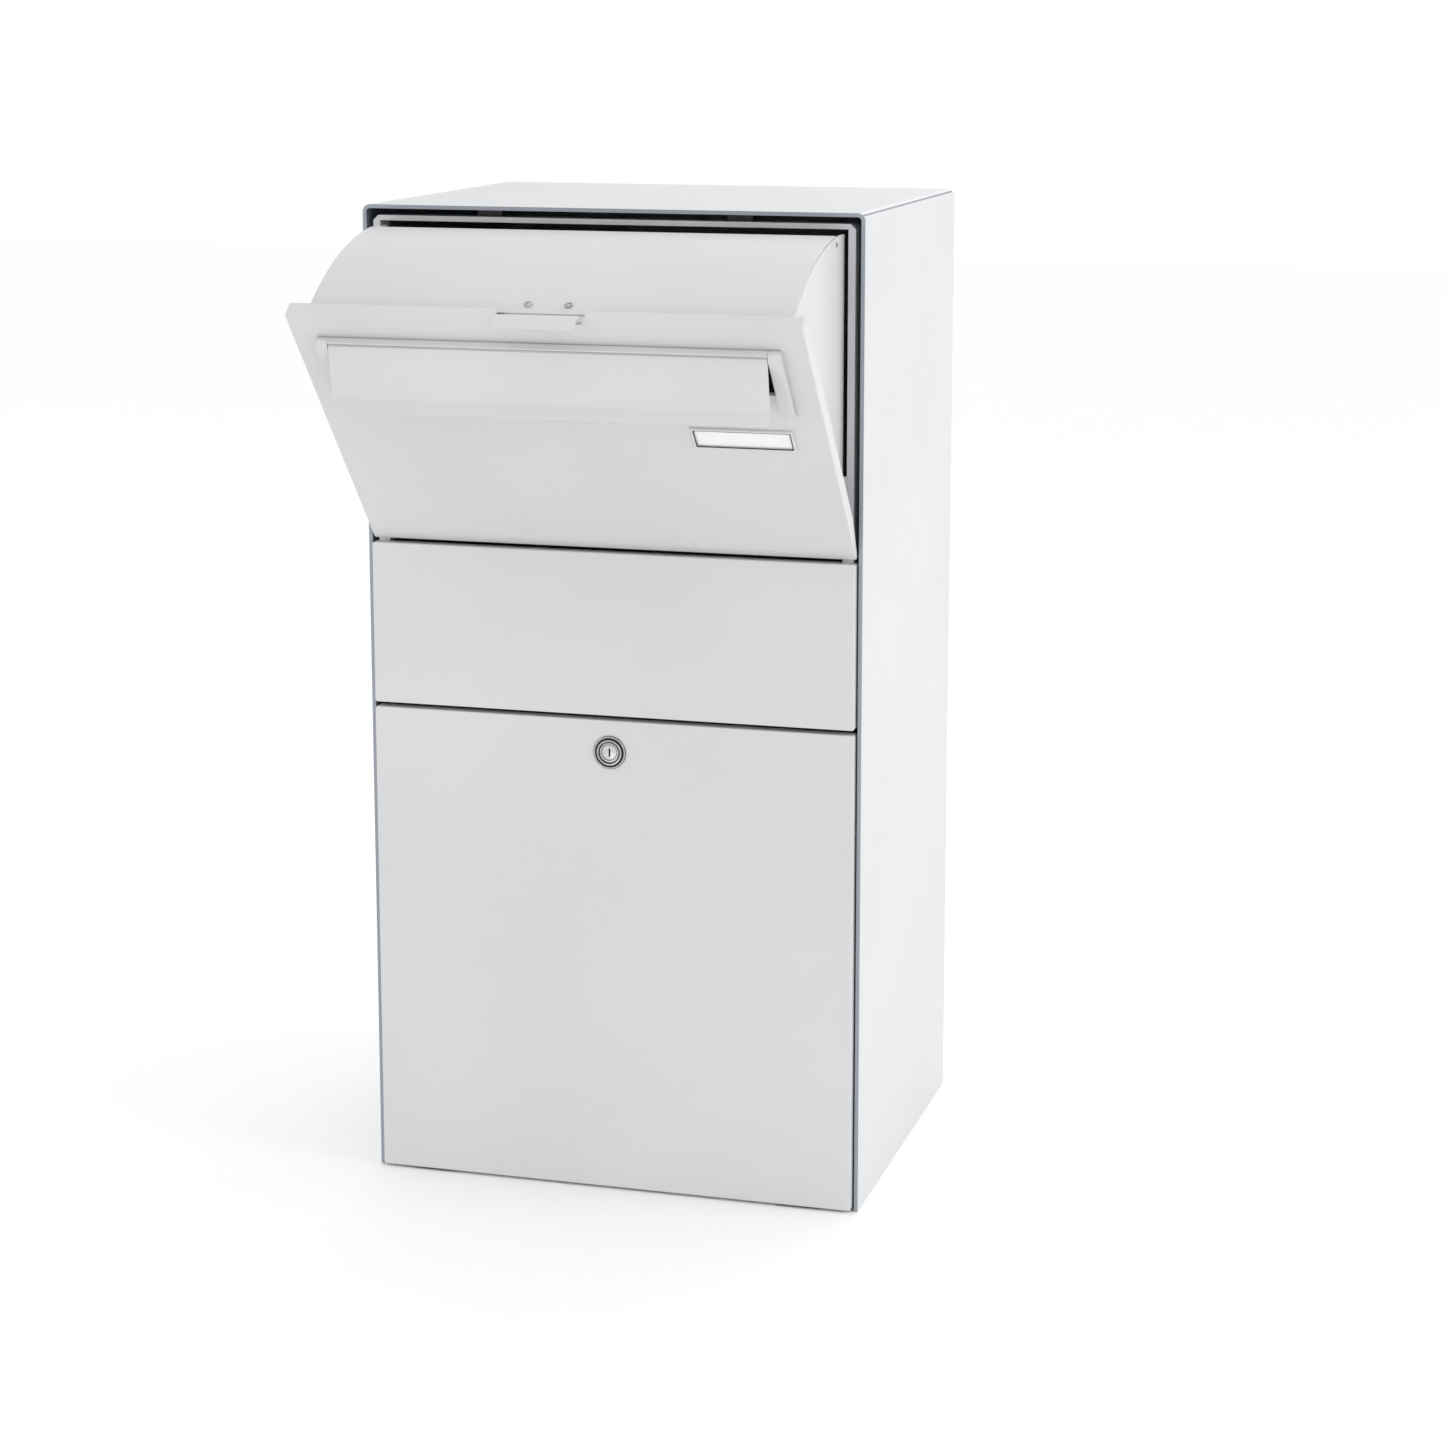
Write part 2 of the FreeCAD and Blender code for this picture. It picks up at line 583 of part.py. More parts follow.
def door_hinge_leaf():
    half = DOOR_KNUCKLE / 2
    x0, x1 = DOOR_HINGE_X - half, DOOR_HINGE_X + half
    y0, y1 = PANEL_IN_Y, PANEL_IN_Y + SHEET
    neck = box(x0, x1, y0, y1, DOOR_PIN_HEIGHT, DOOR_LEAF_BEND)
    wing = box(x0 - DOOR_LEAF_WING, x1 + DOOR_LEAF_WING, y0, y1, DOOR_LEAF_BEND, DOOR_LEAF_TOP)
    knuckle = rod_x(x0, x1, DOOR_PIN_Y, DOOR_PIN_HEIGHT, DOOR_EAR_RADIUS)
    leaf = knuckle.fuse([neck, wing]).removeSplitter()
    bore_radius = DOOR_PIN_RADIUS + DOOR_PIN_CLEARANCE
    return leaf.cut(rod_x(x0 - 1, x1 + 1, DOOR_PIN_Y, DOOR_PIN_HEIGHT, bore_radius))


def lock_body():
    front = FACE_Y - LOCK_ROSETTE_PROUD
    rosette = rod_y(0, front, FACE_Y, LOCK_Z, LOCK_ROSETTE_RADIUS)
    rim = edges_where(rosette, lambda p: abs(p.y - front) < 1e-6)
    rosette = rosette.makeChamfer(0.7, rim)
    barrel = rod_y(0, FACE_Y, FRONT + 5, LOCK_Z, LOCK_BARREL_RADIUS)
    body = rosette.fuse(barrel).removeSplitter()
    seat = LOCK_PLUG_RADIUS + PLUG_RIM + LOCK_CLEARANCE
    body = body.cut(rod_y(0, front - 1, front + 3, LOCK_Z, seat))
    return body.cut(rod_y(0, front, FRONT + 6, LOCK_Z, LOCK_PLUG_RADIUS + LOCK_CLEARANCE))


def lock_nut():
    rear = PANEL_IN_Y + LOCK_NUT_THICK
    nut = hexagon_y(0, PANEL_IN_Y, rear, LOCK_Z, LOCK_NUT_FLATS)
    return nut.cut(rod_y(0, PANEL_IN_Y - 1, rear + 1, LOCK_Z, LOCK_BARREL_RADIUS))


def lock_plug():
    front = FACE_Y - PLUG_HEAD_PROUD
    head = rod_y(0, front, FACE_Y + 0.9, LOCK_Z, LOCK_PLUG_RADIUS + PLUG_RIM)
    shank = rod_y(0, front, FRONT + 5.3, LOCK_Z, LOCK_PLUG_RADIUS)
    tail = box(-CAM_TAIL, CAM_TAIL, FRONT + 5, CAM_Y + CAM_SHEET, LOCK_Z - CAM_TAIL,
               LOCK_Z + CAM_TAIL)
    plug = head.fuse([shank, tail]).removeSplitter()
    plug = plug.cut(rod_y(0, front - 1, front + PLUG_RECESS, LOCK_Z, LOCK_PLUG_RADIUS - PLUG_RIM))
    keyway = box(-KEYWAY_WIDTH / 2, KEYWAY_WIDTH / 2, front, front + 8,
                 LOCK_Z - KEYWAY_HEIGHT / 2, LOCK_Z + KEYWAY_HEIGHT / 2)
    return plug.cut(keyway).cut(rod_y(0, FRONT, CAM_Y + CAM_SHEET + 1, LOCK_Z, CAM_SCREW_RADIUS))


def dust_shutter():
    front = FACE_Y - PLUG_HEAD_PROUD
    radius = LOCK_PLUG_RADIUS - PLUG_RIM - LOCK_CLEARANCE
    disc = rod_y(0, front + 0.4, front + PLUG_RECESS, LOCK_Z, radius)
    return disc.cut(box(-0.5, 0.5, front, front + 2, LOCK_Z - 4, LOCK_Z + 4))


def lock_cam():
    y0, y1 = CAM_Y, CAM_Y + CAM_SHEET
    half = CAM_WIDTH / 2
    blade = box(0, CAM_REACH - half, y0, y1, LOCK_Z - half, LOCK_Z + half)
    ends = [rod_y(0, y0, y1, LOCK_Z, half), rod_y(CAM_REACH - half, y0, y1, LOCK_Z, half)]
    cam = blade.fuse(ends).removeSplitter()
    return cam.cut(box(-CAM_TAIL, CAM_TAIL, y0 - 1, y1 + 1, LOCK_Z - CAM_TAIL, LOCK_Z + CAM_TAIL))


def cam_screw():
    seat = CAM_Y + CAM_SHEET
    head = rod_y(0, seat, seat + 2.5, LOCK_Z, 6.0)
    shank = rod_y(0, seat - 7, seat, LOCK_Z, CAM_SCREW_RADIUS)
    return head.fuse(shank).removeSplitter()


# ---- hopper (modelled shut) ---------------------------------------------------------------
NOTCH_HALF = 33.5
NOTCH_DROP = SHEET + 0.3
TAPER_HEIGHT = 38.0
CHEEK_FLANGE_X = CHEEK_INNER - CHEEK_FLANGE


def flap_panel():
    panel = tray(FLAP_BOTTOM, FLAP_TOP, PANEL_FLANGE)
    panel = panel.cut(box(-NOTCH_HALF, NOTCH_HALF, FACE_Y - 1, PANEL_EDGE_Y + 1,
                          FLAP_TOP - NOTCH_DROP, FLAP_TOP + 1))
    slot = box(-SLOT_HALF_WIDTH, SLOT_HALF_WIDTH, FACE_Y - 1, PANEL_IN_Y + 1, SLOT_LOW, SLOT_HIGH)
    slot = slot.makeFillet(SLOT_CORNER, [e for e in slot.Edges if along_y(e)])
    panel = panel.cut(slot)
    inner_half = PANEL_HALF - SHEET
    taper = [(PANEL_IN_Y + 0.5, FLAP_BOTTOM - 1), (PANEL_EDGE_Y + 1, FLAP_BOTTOM - 1),
             (PANEL_EDGE_Y + 1, FLAP_BOTTOM + TAPER_HEIGHT)]
    edge = CHEEK_OUTER - 0.5
    cut = prism_x(taper, edge, PANEL_HALF + 1)
    cut = cut.fuse(box(edge, inner_half, PANEL_IN_Y, PANEL_EDGE_Y + 1, FLAP_BOTTOM - 1,
                       FLAP_BOTTOM + SHEET + 0.1))
    return panel.cut(cut).cut(mirrored(cut))


def hopper_cheek():
    front_y = PANEL_IN_Y - FRONT
    top_z = math.sqrt(CHEEK_RADIUS ** 2 - front_y ** 2)
    open_top = math.sqrt(CHEEK_RADIUS ** 2 - CHEEK_REAR ** 2)
    rear_top = from_open(CHEEK_REAR, open_top)
    rear_low = from_open(CHEEK_REAR, 0)
    front_low = (PANEL_IN_Y, PIVOT_Z - 3.9)
    front_top = (PANEL_IN_Y, PIVOT_Z + top_z)
    crown = polar(CHEEK_RADIUS, HOPPER_TILT / 2)
    a, b, c, d, e = [Vector(CHEEK_INNER, *p) for p in
                     (front_low, front_top, crown, rear_top, rear_low)]
    edges = [Part.makeLine(a, b), Part.Arc(b, c, d).toShape(),
             Part.makeLine(d, e), Part.makeLine(e, a)]
    face = Part.Face(Part.Wire(edges))
    cheek = face.extrude(Vector(SHEET, 0, 0))
    flange = box(CHEEK_FLANGE_X, CHEEK_INNER + 0.5, PANEL_IN_Y, PANEL_IN_Y + SHEET,
                 PIVOT_Z + 12.5, PIVOT_Z + CHEEK_RADIUS - 4.5)
    cheek = cheek.fuse(flange).removeSplitter()
    cheek = cheek.cut(rod_x(CHEEK_INNER - 1, CHEEK_OUTER + 1, FRONT, PIVOT_Z, BUSH_RADIUS))
    y, z = polar(LID_PIVOT_R, LID_PIVOT_ANGLE)
    return cheek.cut(rod_x(CHEEK_INNER - 1, CHEEK_OUTER + 1, y, z, LID_PIVOT_RADIUS))


def hopper_pivot_bush():
    tube = rod_x(CHEEK_INNER, CHEEK_OUTER, FRONT, PIVOT_Z, BUSH_RADIUS)
    flange = rod_x(CHEEK_OUTER, CHEEK_OUTER + BUSH_FLANGE, FRONT, PIVOT_Z, BUSH_RADIUS + 0.5)
    bush = tube.fuse(flange).removeSplitter()
    bore = PIVOT_PIN_RADIUS + PIVOT_PIN_CLEARANCE
    return bush.cut(rod_x(CHEEK_INNER - 1, CHEEK_OUTER + 2, FRONT, PIVOT_Z, bore))


def hopper_crossbar():
    top = CHEEK_RADIUS - 2.0
    rear = CHEEK_REAR
    outline = [(rear - SHEET, top - 15.5), (rear, top - 15.5), (rear, top - SHEET),
               (rear + 8.5, top - SHEET), (rear + 8.5, top), (rear - SHEET, top)]
    return prism_x([from_open(y, z) for y, z in outline], -CHEEK_INNER, CHEEK_INNER)


def hopper_floor():
    start = (PANEL_IN_Y + 2 * SHEET, PIVOT_Z + FLOOR_START)
    end = from_open(CHEEK_REAR - 1, FLOOR_END)
    lip_end = from_open(CHEEK_REAR - 1, FLOOR_END - 8)
    plate = bent_sheet([start, end, lip_end][::-1], SHEET, -CHEEK_INNER, CHEEK_INNER)
    half = CHEEK_FLANGE_X - 0.5
    low = PIVOT_Z + FLOOR_START - SHEET
    upstand = box(-half, half, PANEL_IN_Y, PANEL_IN_Y + SHEET, low, low + 14)
    foot = box(-half, half, PANEL_IN_Y, PANEL_IN_Y + 2 * SHEET + 0.6, low, low + SHEET)
    return plate.fuse([upstand, foot]).removeSplitter()


def hopper_stop_tabs():
    outline = [(CHEEK_REAR - SHEET, STOP_LOW - PIVOT_Z), (CHEEK_REAR, STOP_LOW - PIVOT_Z),
               (CHEEK_REAR, STOP_HIGH - PIVOT_Z), (CHEEK_REAR - SHEET, STOP_HIGH - PIVOT_Z)]
    tab = prism_x([from_open(y, z) for y, z in outline], CHEEK_OUTER, FRAME_INNER - 0.4)
    return pair(tab)


def lid_pivot_screws():
    y, z = polar(LID_PIVOT_R, LID_PIVOT_ANGLE)
    head_x = EAR_INNER - RUNNING_GAP
    head = rod_x(head_x - 2.2, head_x, y, z, 3.3)
    rim = edges_where(head, lambda p: p.x < head_x - 2)
    head = head.makeFillet(0.9, rim)
    shank = rod_x(head_x - 1, CHEEK_OUTER, y, z, LID_PIVOT_RADIUS)
    return pair(head.fuse(shank).removeSplitter())


def letter_end_cap():
    low, top = LETTER_CAP_LOW, LETTER_FRAME_TOP
    proud_y = LETTER_CAP_Y
    wall = LETTER_CAP_WALL
    outline = [(FACE_Y, low), (proud_y, low + 20), (proud_y, top - 6), (proud_y + 3, top),
               (FACE_Y, top)]
    cap = prism_x(outline, LETTER_INNER, LETTER_FRAME_HALF_WIDTH)
    pocket = [(FACE_Y + 1, low + 4), (FACE_Y - 1, low + 4), (proud_y + wall, low + 21),
              (proud_y + wall, top - 6.5), (proud_y + 3.5, top - wall), (FACE_Y + 1, top - wall)]
    cap = cap.cut(prism_x(pocket, LETTER_INNER + wall, LETTER_FRAME_HALF_WIDTH - wall))
    return cap.cut(rod_x(LETTER_INNER - 1, LETTER_INNER + 4, LETTER_AXLE_Y, LETTER_AXLE_Z,
                         LETTER_AXLE_RADIUS))


def letter_frame_top_rail():
    top, wall = LETTER_FRAME_TOP, LETTER_CAP_WALL
    web = box(-LETTER_INNER, LETTER_INNER, FACE_Y - wall, FACE_Y, SLOT_HIGH + 1, top)
    hood = box(-LETTER_INNER, LETTER_INNER, LETTER_CAP_Y + 1, FACE_Y, top - wall, top)
    return web.fuse(hood).removeSplitter()


def letter_frame_bottom_rail():
    low = SLOT_LOW - LETTER_RAIL_WIDTH
    return box(-LETTER_INNER, LETTER_INNER, FACE_Y - 1.5, FACE_Y, low, SLOT_LOW)


def letter_flap_axle():
    half = LETTER_INNER + 4
    return rod_x(-half, half, LETTER_AXLE_Y, LETTER_AXLE_Z, LETTER_AXLE_RADIUS)


def letter_flap():
    half = LETTER_INNER - LETTER_FLAP_END_GAP
    bore = LETTER_AXLE_RADIUS + 0.06
    inner_y = LETTER_AXLE_Y - bore - 0.15
    bottom = LETTER_AXLE_Z - LETTER_FLAP_DROP
    path = [(inner_y - 5.5, bottom - 8.5), (inner_y, bottom), (inner_y, LETTER_AXLE_Z + 1)]
    plate = bent_sheet(path, LETTER_FLAP_SHEET, -half, half)
    knuckles = []
    for place in (-1, 0, 1):
        x = place * LETTER_KNUCKLE_SPACING
        x0, x1 = x - LETTER_KNUCKLE_HALF, x + LETTER_KNUCKLE_HALF
        knuckles.append(rod_x(x0, x1, LETTER_AXLE_Y, LETTER_AXLE_Z, bore + LETTER_FLAP_SHEET))
    flap = plate.fuse(knuckles).removeSplitter()
    flap = flap.cut(rod_x(-half - 1, half + 1, LETTER_AXLE_Y, LETTER_AXLE_Z, bore))
    flap.rotate(Vector(0, LETTER_AXLE_Y, LETTER_AXLE_Z), Vector(1, 0, 0), -LETTER_FLAP_HANG)
    return flap


WINDOW_Y = FACE_Y - NAME_PLATE_PROUD + 0.6


def name_plate_outline(margin, y0, y1):
    """A block as wide and high as the name plate, less a margin all round."""
    top = FLAP_TOP - NAME_PLATE_BELOW_TOP
    return box(NAME_PLATE_RIGHT - NAME_PLATE_WIDTH + margin, NAME_PLATE_RIGHT - margin, y0, y1,
               top - NAME_PLATE_HEIGHT + margin, top - margin)


def name_plate_frame():
    frame = name_plate_outline(0, FACE_Y - NAME_PLATE_PROUD, FACE_Y)
    frame = frame.cut(name_plate_outline(NAME_PLATE_RIM, WINDOW_Y, FACE_Y + 1))
    return frame.cut(name_plate_outline(NAME_PLATE_BORDER, FACE_Y - 3, FACE_Y))


def name_plate_window():
    return name_plate_outline(NAME_PLATE_RIM, WINDOW_Y, FACE_Y - LABEL_THICK)


def name_label():
    return name_plate_outline(NAME_PLATE_RIM, FACE_Y - LABEL_THICK, FACE_Y)


# ---- lid (modelled shut on the shut hopper) -----------------------------------------------
CLIP_SCREW_ANGLE = LID_FRONT_ANGLE + 0.55 * CLIP_OVERLAP_ANGLE


def clip_screw_axis():
    """The place of the clip screws on the lid's inner face, and their outward direction."""
    y, z = polar(LID_RADIUS, CLIP_SCREW_ANGLE)
    angle = math.radians(CLIP_SCREW_ANGLE)
    return y, z, Vector(0, math.sin(angle), math.cos(angle))


def radial_rod(start, end, radius, x):
    """A rod along the clip screws' direction, from one distance off the lid to another."""
    y, z, outward = clip_screw_axis()
    base = Vector(x, y, z) + outward * start
    return Part.makeCylinder(radius, end - start, base, outward)


def clip_holes(shape):
    for x in (-CLIP_SCREW_SPACING / 2, CLIP_SCREW_SPACING / 2):
        shape = shape.cut(radial_rod(-5, 5, 1.5, x))
    return shape


def lid_plate():
    plate = ring_sector(LID_RADIUS, LID_OUTER_RADIUS, LID_FRONT_ANGLE, LID_REAR_ANGLE,
                        -CHEEK_OUTER, CHEEK_OUTER)
    return clip_holes(plate)


def lid_ear():
    y, z = polar(LID_PIVOT_R, LID_PIVOT_ANGLE)
    tab = ring_sector(LID_RADIUS - 10.5, LID_RADIUS, LID_REAR_ANGLE - LID_EAR_ANGLE,
                      LID_REAR_ANGLE + 0.6, EAR_INNER, EAR_OUTER)
    ear = tab.fuse(rod_x(EAR_INNER, EAR_OUTER, y, z, LID_EAR_RADIUS)).removeSplitter()
    return ear.cut(rod_x(EAR_INNER - 1, EAR_OUTER + 1, y, z, LID_PIVOT_RADIUS + 0.06))


def lid_clip():
    tail = polar(LID_RADIUS - 0.02, LID_FRONT_ANGLE + CLIP_OVERLAP_ANGLE)
    edge = polar(LID_RADIUS - 0.02, LID_FRONT_ANGLE)
    heel_y = PANEL_IN_Y + SHEET + CLIP_HEEL_GAP
    crest_y = heel_y - CLIP_LEAN
    heel = (heel_y, edge[1])
    crest = (crest_y, HEIGHT + 0.2)
    tip = (crest_y - CLIP_TONGUE, HEIGHT + 0.6)
    clip = bent_sheet([tip, crest, heel, edge, tail][::-1], SHEET, -CLIP_WIDTH / 2, CLIP_WIDTH / 2)
    return clip_holes(clip)


def clip_screws():
    screws = []
    for x in (-CLIP_SCREW_SPACING / 2, CLIP_SCREW_SPACING / 2):
        seat = -SHEET - 0.25
        head = radial_rod(seat - 1.6, seat, 3.0, x)
        shank = radial_rod(seat, LID_SHEET + 1.0, 1.5, x)
        screws.append(head.fuse(shank).removeSplitter())
    return Part.makeCompound(screws)


def clip_nuts():
    nuts = []
    for x in (-CLIP_SCREW_SPACING / 2, CLIP_SCREW_SPACING / 2):
        nut = radial_rod(LID_SHEET + 0.1, LID_SHEET + CLIP_NUT_HEIGHT - 0.1, 3.2, x)
        nuts.append(nut.cut(radial_rod(0, LID_SHEET + 3, 1.5, x)))
    return Part.makeCompound(nuts)


# ---- every node, in the place where it is stored ------------------------------------------
nodes = {
    "casing": rivet_holes(casing()),
    "back_panel": rivet_holes(back_panel()),
    "base_plate": base_plate(),
    "rear_rivets": rear_rivets(),
    "middle_fascia": middle_fascia(),
    "fascia_brackets": fascia_brackets(),
    "fascia_screws": fascia_screws(),
    "opening_frame": opening_frame(),
    "frame_spacers": frame_spacers(),
    "hopper_pivot_bracket_right": hopper_pivot_bracket(),
    "hopper_pivot_bracket_left": mirrored(hopper_pivot_bracket()),
    "hopper_pivot_pins": pair(hopper_pivot_pin()),
    "hopper_stops": hopper_stops(),
    "drop_baffle": drop_baffle(),
    "lock_keeper": lock_keeper(),
    "door_hinge_bracket_right": door_hinge_bracket(),
    "door_hinge_bracket_left": mirrored(door_hinge_bracket()),
    "door_hinge_pins": door_hinge_pins(),
    "door_panel": door_panel(),
    "door_stiffener": door_stiffener(),
    "door_hinge_leaf_right": door_hinge_leaf(),
    "door_hinge_leaf_left": mirrored(door_hinge_leaf()),
    "lock_body": lock_body(),
    "lock_nut": lock_nut(),
    "lock_plug": lock_plug(),
    "dust_shutter": dust_shutter(),
    "lock_cam": lock_cam(),
    "cam_screw": cam_screw(),
}

hopper_nodes = {
    "flap_panel": flap_panel(),
    "hopper_cheek_right": hopper_cheek(),
    "hopper_cheek_left": mirrored(hopper_cheek()),
    "hopper_pivot_bushes": pair(hopper_pivot_bush()),
    "hopper_crossbar": hopper_crossbar(),
    "hopper_floor": hopper_floor(),
    "hopper_stop_tabs": hopper_stop_tabs(),
    "lid_pivot_screws": lid_pivot_screws(),
    "letter_end_cap_right": letter_end_cap(),
    "letter_end_cap_left": mirrored(letter_end_cap()),
    "letter_frame_top_rail": letter_frame_top_rail(),
    "letter_frame_bottom_rail": letter_frame_bottom_rail(),
    "letter_flap_axle": letter_flap_axle(),
    "letter_flap": letter_flap(),
    "name_plate_frame": name_plate_frame(),
    "name_plate_window": name_plate_window(),
    "name_label": name_label(),
    "lid_plate": lid_plate(),
    "lid_ear_right": lid_ear(),
    "lid_ear_left": mirrored(lid_ear()),
    "lid_clip": lid_clip(),
    "clip_screws": clip_screws(),
    "clip_nuts": clip_nuts(),
}

for name, shape in hopper_nodes.items():
    nodes[name] = tilted(shape)

os.makedirs("parts", exist_ok=True)
for name, shape in nodes.items():
    shape.exportStep("parts/" + name + ".step")
    print(name, len(shape.Solids), round(shape.Volume, 1), shape.isValid())
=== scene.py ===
import json
import math
import bmesh
import bpy
from mathutils import Matrix, Vector


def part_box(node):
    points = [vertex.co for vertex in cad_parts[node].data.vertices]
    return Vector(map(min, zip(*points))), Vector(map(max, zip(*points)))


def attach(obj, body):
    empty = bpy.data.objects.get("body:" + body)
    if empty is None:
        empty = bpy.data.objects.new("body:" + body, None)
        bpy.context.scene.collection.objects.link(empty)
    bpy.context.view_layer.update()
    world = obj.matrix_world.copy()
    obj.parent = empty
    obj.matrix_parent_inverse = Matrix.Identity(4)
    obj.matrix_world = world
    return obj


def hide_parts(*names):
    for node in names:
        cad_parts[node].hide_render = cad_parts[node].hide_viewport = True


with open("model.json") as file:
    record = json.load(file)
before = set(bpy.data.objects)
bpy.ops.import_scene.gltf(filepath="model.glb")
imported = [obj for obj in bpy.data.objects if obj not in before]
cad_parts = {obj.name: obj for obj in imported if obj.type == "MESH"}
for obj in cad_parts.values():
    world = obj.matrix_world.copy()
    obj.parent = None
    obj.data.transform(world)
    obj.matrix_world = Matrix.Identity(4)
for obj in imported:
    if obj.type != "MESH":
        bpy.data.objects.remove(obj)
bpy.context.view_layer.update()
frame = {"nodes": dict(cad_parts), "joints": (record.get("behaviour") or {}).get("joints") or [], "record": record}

# ---- sizes in metres, read from the frame except for the two sheet thicknesses --------------
MM = 0.001
THICK_SHEET = 1.5 * MM
THIN_SHEET = 1.2 * MM
joints = {joint["name"]: joint for joint in frame["joints"]}
casing_low, casing_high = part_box("casing")
HALF_WIDTH = casing_high.x
FRONT = casing_low.y
BACK = casing_high.y
TOP = casing_high.z
DOOR_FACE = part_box("door_panel")[0].y
HOPPER_PIVOT = Vector(joints["hopper_tilt"]["pos_m"])
TILT = -math.radians(joints["hopper_tilt"]["range_deg"][0])
OPEN_HOPPER = (Matrix.Translation(HOPPER_PIVOT) @ Matrix.Rotation(TILT, 4, "X")
               @ Matrix.Translation(-HOPPER_PIVOT))


# ---- node materials -------------------------------------------------------------------------
class Shader:
    """A material with a Principled shader, and short calls that add nodes to it."""

    def __init__(self, name):
        self.material = bpy.data.materials.new(name)
        self.material.use_nodes = True
        self.nodes = self.material.node_tree.nodes
        self.links = self.material.node_tree.links
        self.surface = self.nodes["Principled BSDF"]
        self.place = self.nodes.new("ShaderNodeTexCoord").outputs["Object"]

    def set(self, **values):
        for key, value in values.items():
            self.surface.inputs[key.replace("_", " ")].default_value = value

    def noise(self, scale, detail=2.0, stretch=(1, 1, 1)):
        mapping = self.nodes.new("ShaderNodeMapping")
        mapping.inputs["Scale"].default_value = stretch
        self.links.new(self.place, mapping.inputs["Vector"])
        texture = self.nodes.new("ShaderNodeTexNoise")
        texture.inputs["Scale"].default_value = scale
        texture.inputs["Detail"].default_value = detail
        self.links.new(mapping.outputs["Vector"], texture.inputs["Vector"])
        return texture.outputs["Fac"]

    def ramp(self, value, low, high):
        """A colour between two, over the middle part of a noise's range."""
        node = self.nodes.new("ShaderNodeValToRGB")
        for element, place, colour in zip(node.color_ramp.elements, (0.3, 0.7), (low, high)):
            element.position = place
            element.color = (*colour, 1)
        self.links.new(value, node.inputs["Fac"])
        return node.outputs["Color"]

    def range(self, value, low, high):
        """A number from low to high, as the value goes from 0 to 1."""
        node = self.nodes.new("ShaderNodeMapRange")
        node.inputs["To Min"].default_value = low
        node.inputs["To Max"].default_value = high
        self.links.new(value, node.inputs["Value"])
        return node.outputs["Result"]

    def math(self, operation, a, b=None):
        node = self.nodes.new("ShaderNodeMath")
        node.operation = operation
        for socket, value in zip(node.inputs, (a, b)):
            if value is None:
                continue
            if isinstance(value, (int, float)):
                socket.default_value = value
            else:
                self.links.new(value, socket)
        return node.outputs[0]

    def axis(self, letter):
        node = self.nodes.new("ShaderNodeSeparateXYZ")
        self.links.new(self.place, node.inputs[0])
        return node.outputs[letter]

    def mix(self, factor, a, b):
        node = self.nodes.new("ShaderNodeMix")
        node.data_type = "RGBA"
        self.links.new(factor, node.inputs["Factor"])
        for socket, value in ((node.inputs[6], a), (node.inputs[7], b)):
            if isinstance(value, tuple):
                socket.default_value = (*value, 1)
            else:
                self.links.new(value, socket)
        return node.outputs[2]

    def bump(self, value, distance, strength):
        node = self.nodes.new("ShaderNodeBump")
        node.inputs["Distance"].default_value = distance
        node.inputs["Strength"].default_value = strength
        self.links.new(value, node.inputs["Height"])
        self.links.new(node.outputs["Normal"], self.surface.inputs["Normal"])

    def link(self, value, socket):
        self.links.new(value, self.surface.inputs[socket])


WHITE_LOW = (0.612, 0.620, 0.630)
WHITE_HIGH = (0.650, 0.657, 0.666)
# Painted shade: a dark blue-grey that stands for the shade inside the cabinet, on its inner faces.
PAINTED_SHADE_LOW = (0.168, 0.188, 0.224)
PAINTED_SHADE_HIGH = (0.184, 0.204, 0.240)
# Painted shade: a grey line along the fold of the casing's front rim.
RIM_SHADE_GREY = (0.30, 0.33, 0.37)
RIM_DEPTH = 0.35 * MM
PEEL_HEIGHT = 0.12 * MM


def coat_texture(shader):
    """The fine orange peel of a powder coat, and its slightly uneven gloss."""
    shader.bump(shader.noise(620, 3.0), PEEL_HEIGHT, 0.5)
    shader.link(shader.range(shader.noise(35, 3.0), 0.34, 0.44), "Roughness")


def white_shade(shader):
    return shader.ramp(shader.noise(5, 4.0), WHITE_LOW, WHITE_HIGH)


# Painted shade: the dark tone of the cabinet's inside, with a little random unevenness.
def painted_shade_tone(shader):
    return shader.ramp(shader.noise(60, 4.0), PAINTED_SHADE_LOW, PAINTED_SHADE_HIGH)


def white_coat():
    shader = Shader("white_powder_coat")
    coat_texture(shader)
    shader.link(white_shade(shader), "Base Color")
    shader.set(Coat_Weight=0.08, Coat_Roughness=0.25)
    return shader.material


def coat_with_inner_shade(name, inside):
    """White outside and dark inside as painted shade; inside(shader) is 1 where the sheet faces inward."""
    shader = Shader(name)
    coat_texture(shader)
    shader.link(shader.mix(inside(shader), white_shade(shader), painted_shade_tone(shader)),
                "Base Color")
    return shader


def casing_inner_shade_mask(shader):
    """1 on the inner faces of the casing's sheets, which take the painted shade, and 0 on their outer faces."""
    within = shader.math("LESS_THAN", shader.math("ABSOLUTE", shader.axis("X")),
                         HALF_WIDTH - 0.8 * THICK_SHEET)
    below = shader.math("LESS_THAN", shader.axis("Z"), TOP - 0.8 * THICK_SHEET)
    before = shader.math("LESS_THAN", shader.axis("Y"), BACK - 0.9 * THICK_SHEET)
    return shader.math("MULTIPLY", shader.math("MULTIPLY", within, below), before)


def casing_coat_and_shade():
    """The casing's coat, with painted shade on its inner faces and a painted shade line along its front rim."""
    shader = coat_with_inner_shade("casing_coat_and_shade", casing_inner_shade_mask)
    coat = shader.surface.inputs["Base Color"].links[0].from_socket
    # Painted shade: the thin band of the front rim takes a darker grey.
    rim = shader.math("LESS_THAN", shader.axis("Y"), FRONT + RIM_DEPTH)
    shader.link(shader.mix(rim, coat, RIM_SHADE_GREY), "Base Color")
    return shader.material


